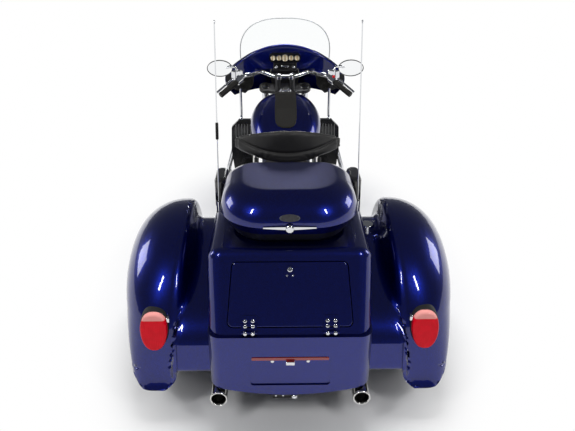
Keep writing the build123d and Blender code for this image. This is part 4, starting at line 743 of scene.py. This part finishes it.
def stuffed(node, name, voxel, slack, swell):
    """Foam under a tight cover: the CAD pad drawn in by slack, then swollen as cloth by at most swell."""
    pad = copy_of(node, name)
    weave = pad.modifiers.new("weave", "REMESH")
    weave.mode = "VOXEL"
    weave.voxel_size = voxel
    bpy.ops.object.modifier_apply(modifier="weave")
    ease = pad.modifiers.new("ease", "SMOOTH")
    ease.factor = 0.5
    ease.iterations = 6
    bpy.ops.object.modifier_apply(modifier="ease")
    draw_in = pad.modifiers.new("draw_in", "DISPLACE")
    draw_in.strength = -slack
    draw_in.mid_level = 0
    bpy.ops.object.modifier_apply(modifier="draw_in")
    rest = [v.co.copy() for v in pad.data.vertices]
    floor_z = min(p.z for p in rest)
    held = pad.vertex_groups.new(name="held_by_pan")
    held.add([i for i, p in enumerate(rest) if p.z < floor_z + 0.012], 1.0, "REPLACE")
    cloth = pad.modifiers.new("stuffing", "CLOTH")
    cloth.settings.use_pressure = True
    cloth.settings.uniform_pressure_force = 4
    cloth.settings.effector_weights.gravity = 0
    cloth.settings.vertex_group_mass = held.name
    cloth.settings.quality = 4
    for step in range(1, 21):
        scene.frame_set(step)
    bpy.ops.object.modifier_apply(modifier="stuffing")
    scene.frame_set(1)
    for point, start in zip(pad.data.vertices, rest):
        move = point.co - start
        if move.length > swell:
            point.co = start + move * (swell / move.length)
    pad.vertex_groups.clear()
    return pad


def sewn(pad, depth, width, line):
    """Draws a cover in along a sewn line; line gives a point's distance from it, or None off it."""
    normals = [v.normal.copy() for v in pad.data.vertices]
    for point, normal in zip(pad.data.vertices, normals):
        gap = line(point.co, normal)
        if gap is not None:
            point.co -= normal * depth * math.exp(-(gap / width) ** 2)


def cover(pad, node):
    """One subdivision, then smooth shading, the vinyl, the chassis body, and the CAD node hidden."""
    bpy.ops.object.select_all(action="DESELECT")
    bpy.context.view_layer.objects.active = pad
    pad.select_set(True)
    finer = pad.modifiers.new("finer", "SUBSURF")
    finer.levels = 1
    bpy.ops.object.modifier_apply(modifier="finer")
    settle(pad, vinyl, "chassis")
    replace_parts(pad, node)


rider = stuffed("rider_seat", "rider_saddle", 0.007, 0.007, 0.010)
rider_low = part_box("rider_seat")[0]
for sewn_y in (rider_low.y + 0.120, rider_low.y + 0.205, rider_low.y + 0.290):
    sewn(rider, 0.007, 0.007, lambda p, n, y=sewn_y: p.y - y if n.z > 0.3 and abs(p.x) < 0.135 else None)
for side in (-1, 1):
    sewn(rider, 0.006, 0.006, lambda p, n,
         s=side: p.x - s * 0.140 if n.z > 0.3 and p.y < rider_low.y + 0.320 else None)
cover(rider, "rider_seat")

passenger = stuffed("passenger_seat", "passenger_saddle", 0.007, 0.007, 0.010)
passenger_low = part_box("passenger_seat")[0]
for sewn_y in (passenger_low.y + 0.060, passenger_low.y + 0.115, passenger_low.y + 0.170):
    sewn(passenger, 0.007, 0.007, lambda p, n,
         y=sewn_y: p.y - y if n.z > 0.3 and abs(p.x) < 0.150 else None)
for side in (-1, 1):
    sewn(passenger, 0.006, 0.006, lambda p, n, s=side: p.x - s * 0.155 if n.z > 0.3 else None)
cover(passenger, "passenger_seat")

rest_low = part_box("backrest")[0]
roll_z = rest_low.z + 0.052
back = stuffed("backrest", "backrest_pad", 0.0055, 0.008, 0.012)
sewn(back, 0.008, 0.006,
     lambda p, n: p.z - (roll_z + 0.052 * (p.x / 0.25) ** 2) if abs(p.x) < 0.245 else None)
sewn(back, -0.006, 0.022,
     lambda p,
     n: p.z - (roll_z - 0.026 + 0.052 * (p.x / 0.25) ** 2) if n.y < 0.2 and abs(p.x) < 0.235 else None)
cover(back, "backrest")

# The tank console: a padded black strip along the tank, moulded in one piece with a raised rim.
# It is soft-touch plastic with a leather-like grain.
soft_plastic = grained_finish("soft_black_plastic", (0.009, 0.009, 0.008), (0.019, 0.018, 0.017), 380,
                              (0.40, 0.58), 0.35)
gloss_black = grained_finish("gloss_black", (0.006, 0.006, 0.007), (0.014, 0.014, 0.015), 60,
                             (0.12, 0.22), 0.05, coat=0.6)
soft_plastic.node_tree.nodes["Principled BSDF"].inputs["Specular IOR Level"].default_value = 0.22
console = copy_of("tank_console", "console_pad")
knit = console.modifiers.new("knit", "REMESH")
knit.mode = "VOXEL"
knit.voxel_size = 0.005
bpy.ops.object.modifier_apply(modifier="knit")
ease = console.modifiers.new("ease", "SMOOTH")
ease.factor = 0.5
ease.iterations = 14
bpy.ops.object.modifier_apply(modifier="ease")
settle(console, soft_plastic, "chassis")
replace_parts(console, "tank_console")
domed_heads("ignition_cap", 0.020, 0.012, [(x, front_axle_y - 0.556, 0.983) for x in (-0.017, 0.017)],
            (0, -0.2, 1), chrome, "chassis")

# The speaker pods and aerials: black moulded pods at the box's front corners, and two chromed whips.
# The left whip has a black ferrule, and each ends in a small ball.
wear(gloss_black, "speaker_pods")
wear(chrome, "aerials", "filler_cap")
whip_lean = Vector((-0.028, 0, 1)).normalized()
whip_root = Vector((0.314, rear_axle_y - 0.060, 0.820))
bpy.ops.object.select_all(action="DESELECT")
bpy.ops.mesh.primitive_cylinder_add(vertices=24, radius=0.0065, depth=0.075, location=(0, 0, 0))
ferrule = bpy.context.object
ferrule.name = "aerial_ferrule"
round_edges(ferrule, 0.003, 3)
ferrule_at = whip_root + whip_lean * ((1.161 - whip_root.z) / whip_lean.z)
ferrule.data.transform(Matrix.Translation((-ferrule_at.x, ferrule_at.y, ferrule_at.z))
                       @ Vector((-whip_lean.x, 0, whip_lean.z)).to_track_quat("Z",
                                                                              "Y").to_matrix().to_4x4())
settle(ferrule, soft_plastic, "chassis", 40)

for side, ball_name in ((-1, "aerial_ball_left"), (1, "aerial_ball_right")):
    bpy.ops.object.select_all(action="DESELECT")
    bpy.ops.mesh.primitive_uv_sphere_add(segments=20, ring_count=14, radius=0.0045, location=(0, 0, 0))
    ball = bpy.context.object
    ball.name = ball_name
    pick_faces(ball, lambda face: face.normal.z < -0.8)
    bpy.ops.mesh.extrude_region_move(TRANSFORM_OT_translate={"value": (0, 0, -0.004)})
    bpy.ops.object.mode_set(mode="OBJECT")
    ball_at = whip_root + whip_lean * ((1.6125 - whip_root.z) / whip_lean.z)
    ball.data.transform(Matrix.Translation((side * ball_at.x, ball_at.y, ball_at.z)))
    settle(ball, chrome, "chassis")

# The fairing: painted outside and in, with a clear screen, a strip of cream gauges and two round speakers.
# The screen is a bent acrylic sheet; the thin grey line round its polished edge is a painted highlight,
# carried by a grey bead.
screen_sheet = bpy.data.materials.new("clear_acrylic")
screen_sheet.use_nodes = True
sheet = screen_sheet.node_tree.nodes["Principled BSDF"]
sheet.inputs["Base Color"].default_value = (0.97, 0.985, 0.985, 1)
sheet.inputs["Roughness"].default_value = 0.01
sheet.inputs["IOR"].default_value = 1.03
sheet.inputs["Transmission Weight"].default_value = 1.0
# The bead's grey is a painted highlight for light caught in the clear acrylic edge.
painted_edge_highlight = grained_finish("screen_edge_painted_highlight", (0.52, 0.54, 0.55), (0.64, 0.66, 0.67), 200,
                             (0.2, 0.3), 0.05)
screen_bend = 0.4707
screen_foot_y = front_axle_y - 0.184
screen_foot_z, screen_shoulder_z, screen_top_z = 1.0600, 1.1300, 1.4140
screen_half_w = 0.282
screen_fullness = 2 / 2.9


def screen_point(across, up):
    """A point of the bent sheet: across from -1 to 1, up from -1 (foot) by 0 (shoulder) to 1 (top)."""
    if up < 0:
        x, z = across * screen_half_w, screen_shoulder_z + up * (screen_shoulder_z - screen_foot_z)
    else:
        turn = up * math.pi / 2
        x = across * screen_half_w * math.cos(turn) ** screen_fullness
        z = screen_shoulder_z + (screen_top_z - screen_shoulder_z) * math.sin(turn) ** screen_fullness
    sweep_back = screen_bend - math.sqrt(screen_bend ** 2 - x ** 2)
    return Vector((x, screen_foot_y - sweep_back - (z - screen_foot_z) * 0.68 / 0.733, z))


bpy.ops.object.select_all(action="DESELECT")
bpy.ops.mesh.primitive_grid_add(x_subdivisions=36, y_subdivisions=60, size=2, location=(0, 0, 0))
screen = bpy.context.object
screen.name = "bent_screen"
for point in screen.data.vertices:
    point.co = screen_point(point.co.x, min(point.co.y, 0.995))
thicken = screen.modifiers.new("thicken", "SOLIDIFY")
thicken.thickness = 0.004
thicken.offset = 0
bpy.ops.object.modifier_apply(modifier="thicken")
screen.data.materials.append(screen_sheet)
bpy.ops.object.shade_smooth_by_angle(angle=math.radians(30))
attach(screen, "chassis")
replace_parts(screen, "windscreen")

# The bead round the screen's outline carries the painted edge highlight.
bead_ups = [i / 26 for i in range(27)]
screen_line = [screen_point(-1, up) for up in bead_ups] + [screen_point(1,
                                                                        up) for up in reversed(bead_ups[:-1])]
bead_path = bpy.data.curves.new("screen_bead", "CURVE")
bead_path.dimensions = "3D"
bead_path.bevel_depth = 0.0030
bead_path.bevel_resolution = 3
bead_run = bead_path.splines.new("NURBS")
bead_run.points.add(len(screen_line) - 1)
for knot, place in zip(bead_run.points, screen_line):
    knot.co = (*place, 1)
bead_run.order_u = 3
bead_run.use_endpoint_u = True
bead = bpy.data.objects.new("screen_bead", bead_path)
scene.collection.objects.link(bead)
bpy.ops.object.select_all(action="DESELECT")
bpy.context.view_layer.objects.active = bead
bead.select_set(True)
bpy.ops.object.convert(target="MESH")
bead = bpy.context.object
settle(bead, painted_edge_highlight, "chassis")

wear(black_below("dash_paint", paint, "Z", 1.040), "dash")
brow_half_w = 0.330
bpy.ops.object.select_all(action="DESELECT")
bpy.ops.mesh.primitive_grid_add(x_subdivisions=48, y_subdivisions=10, size=2, location=(0, 0, 0))
brow = bpy.context.object
brow.name = "dash_brow"
dash_mid_y = (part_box("dash")[0].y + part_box("dash")[1].y) / 2
for point in brow.data.vertices:
    x = point.co.x * brow_half_w
    arc = (point.co.y + 1) / 2 * math.pi
    dash_top = nodes["dash"].ray_cast((x, dash_mid_y, 1.6), (0, 0, -1))[1].z
    height = 0.006 + 0.020 * (1 - point.co.x ** 2)
    point.co = (x, dash_mid_y - 0.0085 * math.cos(arc), dash_top - 0.004 + height * math.sin(arc) ** 0.6)
bpy.ops.object.mode_set(mode="EDIT")
bpy.ops.mesh.select_all(action="SELECT")
bpy.ops.mesh.normals_make_consistent(inside=False)
bpy.ops.object.mode_set(mode="OBJECT")
settle(brow, paint, "chassis", 50)
cream_dial = bpy.data.materials.new("cream_gauge_face")
cream_dial.use_nodes = True
tree = cream_dial.node_tree
dial = tree.nodes["Principled BSDF"]
dial.inputs["Roughness"].default_value = 0.3
dial.inputs["Coat Weight"].default_value = 1.0
spot = tree.nodes.new("ShaderNodeTexCoord")
rings = tree.nodes.new("ShaderNodeTexWave")
rings.inputs["Scale"].default_value = 16
rings.inputs["Distortion"].default_value = 1.5
bands = tree.nodes.new("ShaderNodeMix")
bands.data_type = "RGBA"
bands.inputs["A"].default_value = (0.46, 0.30, 0.12, 1)
bands.inputs["B"].default_value = (0.88, 0.82, 0.66, 1)
tree.links.new(spot.outputs["Object"], rings.inputs["Vector"])
tree.links.new(rings.outputs["Fac"], bands.inputs["Factor"])
tree.links.new(bands.outputs["Result"], dial.inputs["Base Color"])
wear(gloss_black, "instruments")
gauge_low, gauge_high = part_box("instruments")
gauge_z = (gauge_low.z + gauge_high.z) / 2
for i in range(5):
    bpy.ops.object.select_all(action="DESELECT")
    gauge_r = 0.024 if i == 2 else 0.019
    gauge_x = (-0.078, -0.0395, 0, 0.0395, 0.078)[i] * 0.97
    bpy.ops.mesh.primitive_cylinder_add(vertices=40, radius=gauge_r, depth=0.010,
                                        location=(gauge_x, gauge_low.y - 0.004, gauge_z),
                                        rotation=(math.pi / 2, 0, 0))
    gauge = bpy.context.object
    gauge.name = "gauge_%d" % (i + 1)
    bpy.ops.object.transform_apply(location=True, rotation=True)
    sink_face(gauge, lambda face: face.normal.y < -0.9, 0.003, (0, 0.003, 0))
    gauge.data.materials.append(chrome)
    gauge.data.materials.append(cream_dial)
    for face in gauge.data.polygons:
        if face.normal.y < -0.9 and len(face.vertices) > 8:
            face.material_index = 1
    bpy.ops.object.shade_smooth_by_angle(angle=math.radians(35))
    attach(gauge, "chassis")

dash_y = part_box("dash")[0].y
radio = block("radio_panel", (0.150, 0.012, 0.050), (0, dash_y - 0.004, 1.090))
sink_face(radio, lambda face: face.normal.y < -0.9, 0.005, (0, 0.003, 0))
round_edges(radio, 0.003, 3)
settle(radio, gloss_black, "chassis", 40)
radio_bar = block("radio_bar", (0.046, 0.008, 0.010), (0, dash_y - 0.010, 1.094))
round_edges(radio_bar, 0.003, 3)
settle(radio_bar, chrome, "chassis", 40)
domed_heads("radio_knobs", 0.010, 0.010, [(x, dash_y - 0.006, 1.088) for x in (-0.056, 0.056)],
            (0, -1, 0), chrome, "chassis")

for side, grille_name in ((-1, "speaker_grille_left"), (1, "speaker_grille_right")):
    bpy.ops.object.select_all(action="DESELECT")
    bpy.ops.mesh.primitive_cylinder_add(vertices=48, radius=0.046, depth=0.008,
                                        location=(side * 0.250, dash_y + 0.003, 0.985),
                                        rotation=(math.pi / 2, 0, 0))
    grille = bpy.context.object
    grille.name = grille_name
    bpy.ops.object.transform_apply(location=True, rotation=True)
    pick_faces(grille, lambda face: face.normal.y < -0.9)
    for ring in range(6):
        bpy.ops.mesh.inset(thickness=0.0030)
        bpy.ops.mesh.extrude_region_move(TRANSFORM_OT_translate={"value": (0, 0.003, 0)})
        bpy.ops.mesh.inset(thickness=0.0030)
        bpy.ops.mesh.extrude_region_move(TRANSFORM_OT_translate={"value": (0, -0.003, 0)})
    bpy.ops.object.mode_set(mode="OBJECT")
    settle(grille, soft_plastic, "chassis", 35)

# The headlamp: a clear fluted glass lens in a black bowl on the front of the fairing.
# A chromed ring clamps the lens to the bowl.
lamp_glass = grained_finish("fluted_lamp_glass", (0.74, 0.76, 0.78), (0.86, 0.88, 0.90), 90, (0.06, 0.14),
                            0.5, coat=1.0)
headlamp_low, headlamp_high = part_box("headlamp")
wear(black_below("headlamp_bowl", lamp_glass, "Y", headlamp_high.y - 0.032), "headlamp")
bpy.ops.object.select_all(action="DESELECT")
bpy.ops.mesh.primitive_torus_add(major_segments=72, minor_segments=14, major_radius=0.0975,
                                 minor_radius=0.008,
                                 location=(0, headlamp_high.y - 0.030,
                                           (headlamp_low.z + headlamp_high.z) / 2),
                                 rotation=(math.pi / 2, 0, 0))
lamp_ring = bpy.context.object
lamp_ring.name = "headlamp_ring"
lamp_ring.scale = (1, 1, 1.9)
bpy.ops.object.transform_apply(location=True, rotation=True, scale=True)
settle(lamp_ring, chrome, "chassis")

# The leg shields: black moulded vents in front of the rider's shins, each with upright slats.
# Crash bars of chromed tube run round them down to the frame.
wear(gloss_black, "lower_fairings")
wear(chrome, "crash_bars")


def repeat_along(piece, count, step):
    """Copies the active piece's mesh count times in a row, a step apart."""
    row = piece.modifiers.new("row", "ARRAY")
    row.count = count
    row.use_relative_offset = False
    row.use_constant_offset = True
    row.constant_offset_displace = step
    bpy.ops.object.modifier_apply(modifier="row")


shield_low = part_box("lower_fairings")[0]
slat_grey = grained_finish("slat_grey", (0.10, 0.10, 0.10), (0.20, 0.20, 0.20), 160, (0.3, 0.45), 0.15,
                           metal=0.6)
for side, slat_name in ((-1, "shield_slats_left"), (1, "shield_slats_right")):
    slats = block(slat_name, (0.008, 0.010, 0.100), (side * 0.226, shield_low.y - 0.002, 0.690))
    repeat_along(slats, 6, (side * 0.019, 0, 0))
    round_edges(slats, 0.003, 3)
    settle(slats, slat_grey, "chassis", 40)

# The floorboards: sand-cast alloy plates at each side of the engine, under the rider's feet.
# A black rubber mat of raised bars is bonded on top of each.
wear(dull_alloy, "floorboards")
board_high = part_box("floorboards")[1]
board_y = front_axle_y - 0.795
for side, mat_name in ((-1, "board_mat_left"), (1, "board_mat_right")):
    mat = block(mat_name, (0.086, 0.014, 0.006), (side * 0.255, board_y - 0.143, board_high.z + 0.0025))
    repeat_along(mat, 14, (0, 0.022, 0))
    round_edges(mat, 0.002, 2)
    settle(mat, rubber, "chassis", 40)

# The front fork and bars: chromed legs and bar on black clamps, with chromed caps over the two risers.
# Ribbed rubber grips are pushed on its ends, beside chromed levers and brake reservoirs.
wear(chrome, "fork_legs", "handlebar", "hand_controls", "mirrors")
wear(satin_black, "triple_clamps")
bar_mid_y = front_axle_y + 0.147 - 1.045 * math.tan(math.radians(29.2))
for side, cap_name in ((-1, "riser_cap_left"), (1, "riser_cap_right")):
    bpy.ops.object.select_all(action="DESELECT")
    bpy.ops.mesh.primitive_cylinder_add(vertices=40, radius=0.0225, depth=0.030,
                                        location=(side * 0.038, bar_mid_y, 1.045),
                                        rotation=(0, math.pi / 2, 0))
    cap = bpy.context.object
    cap.name = cap_name
    bpy.ops.object.transform_apply(location=True, rotation=True)
    pick_faces(cap, lambda face: abs(face.normal.x) > 0.9)
    bpy.ops.mesh.bevel(offset=0.007, segments=3)
    bpy.ops.object.mode_set(mode="OBJECT")
    settle(cap, chrome, "steering", 40)

bar_bend = Vector((0.245, front_axle_y - 0.662, 1.108))
bar_end = Vector((0.378, front_axle_y - 0.770, 1.023))
grip_run = (bar_end - bar_bend).normalized()
rib_pitch = 0.0101
for side, grip_name in ((-1, "ribbed_grip_left"), (1, "ribbed_grip_right")):
    bpy.ops.object.select_all(action="DESELECT")
    bpy.ops.mesh.primitive_cylinder_add(vertices=32, radius=0.0168, depth=rib_pitch,
                                        location=(0, 0, rib_pitch / 2))
    grip = bpy.context.object
    grip.name = grip_name
    bpy.ops.object.transform_apply(location=True)
    round_edges(grip, 0.0024, 3)
    repeat_along(grip, 13, (0, 0, rib_pitch))
    run = Vector((side * grip_run.x, grip_run.y, grip_run.z))
    start = bar_bend + grip_run * 0.066
    turn = run.to_track_quat("Z", "Y").to_matrix().to_4x4()
    grip.data.transform(Matrix.Translation((side * start.x, start.y, start.z)) @ turn)
    settle(grip, soft_plastic, "steering", 40)
    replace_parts(grip, "grips")

switch_red = grained_finish("switch_red", (0.42, 0.004, 0.006), (0.62, 0.010, 0.012), 200, (0.25, 0.4), 0.1)
switch_up = Vector((0.344, -0.280, 0.896))
switch_at = bar_bend + grip_run * 0.046 + switch_up * 0.021
domed_heads("stop_switch", 0.009, 0.009, [switch_at], switch_up, switch_red, "steering")

# The mirrors: oval glasses in slim black rims, pressed into chromed shells.
# They stand on stalks from the brake reservoirs and turn with the bars.
mirror_glass = grained_finish("mirror_glass", (0.90, 0.91, 0.92), (0.94, 0.95, 0.95), 12, (0.01, 0.03),
                              0.0, metal=1.0)
mirror_y = front_axle_y - 0.620
for side, glass_name in ((-1, "mirror_face_left"), (1, "mirror_face_right")):
    bpy.ops.object.select_all(action="DESELECT")
    bpy.ops.mesh.primitive_circle_add(vertices=72, radius=1, fill_type="NGON",
                                      location=(side * 0.393, mirror_y + 0.003, 1.142),
                                      rotation=(math.pi / 2, 0, 0))
    glass = bpy.context.object
    glass.name = glass_name
    glass.scale = (0.0765, 0.0495, 1)
    bpy.ops.object.transform_apply(location=True, rotation=True, scale=True)
    bpy.ops.object.mode_set(mode="EDIT")
    bpy.ops.mesh.select_all(action="SELECT")
    bpy.ops.mesh.extrude_region_move(TRANSFORM_OT_translate={"value": (0, -0.009, 0)})
    bpy.ops.mesh.inset(thickness=0.004)
    bpy.ops.mesh.extrude_region_move(TRANSFORM_OT_translate={"value": (0, 0.003, 0)})
    bpy.ops.mesh.select_all(action="SELECT")
    bpy.ops.mesh.normals_make_consistent(inside=False)
    bpy.ops.object.mode_set(mode="OBJECT")
    glass.data.materials.append(gloss_black)
    glass.data.materials.append(mirror_glass)
    for face in glass.data.polygons:
        if face.normal.y < -0.9 and len(face.vertices) > 8:
            face.material_index = 1
    bpy.ops.object.shade_smooth_by_angle(angle=math.radians(35))
    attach(glass, "steering")
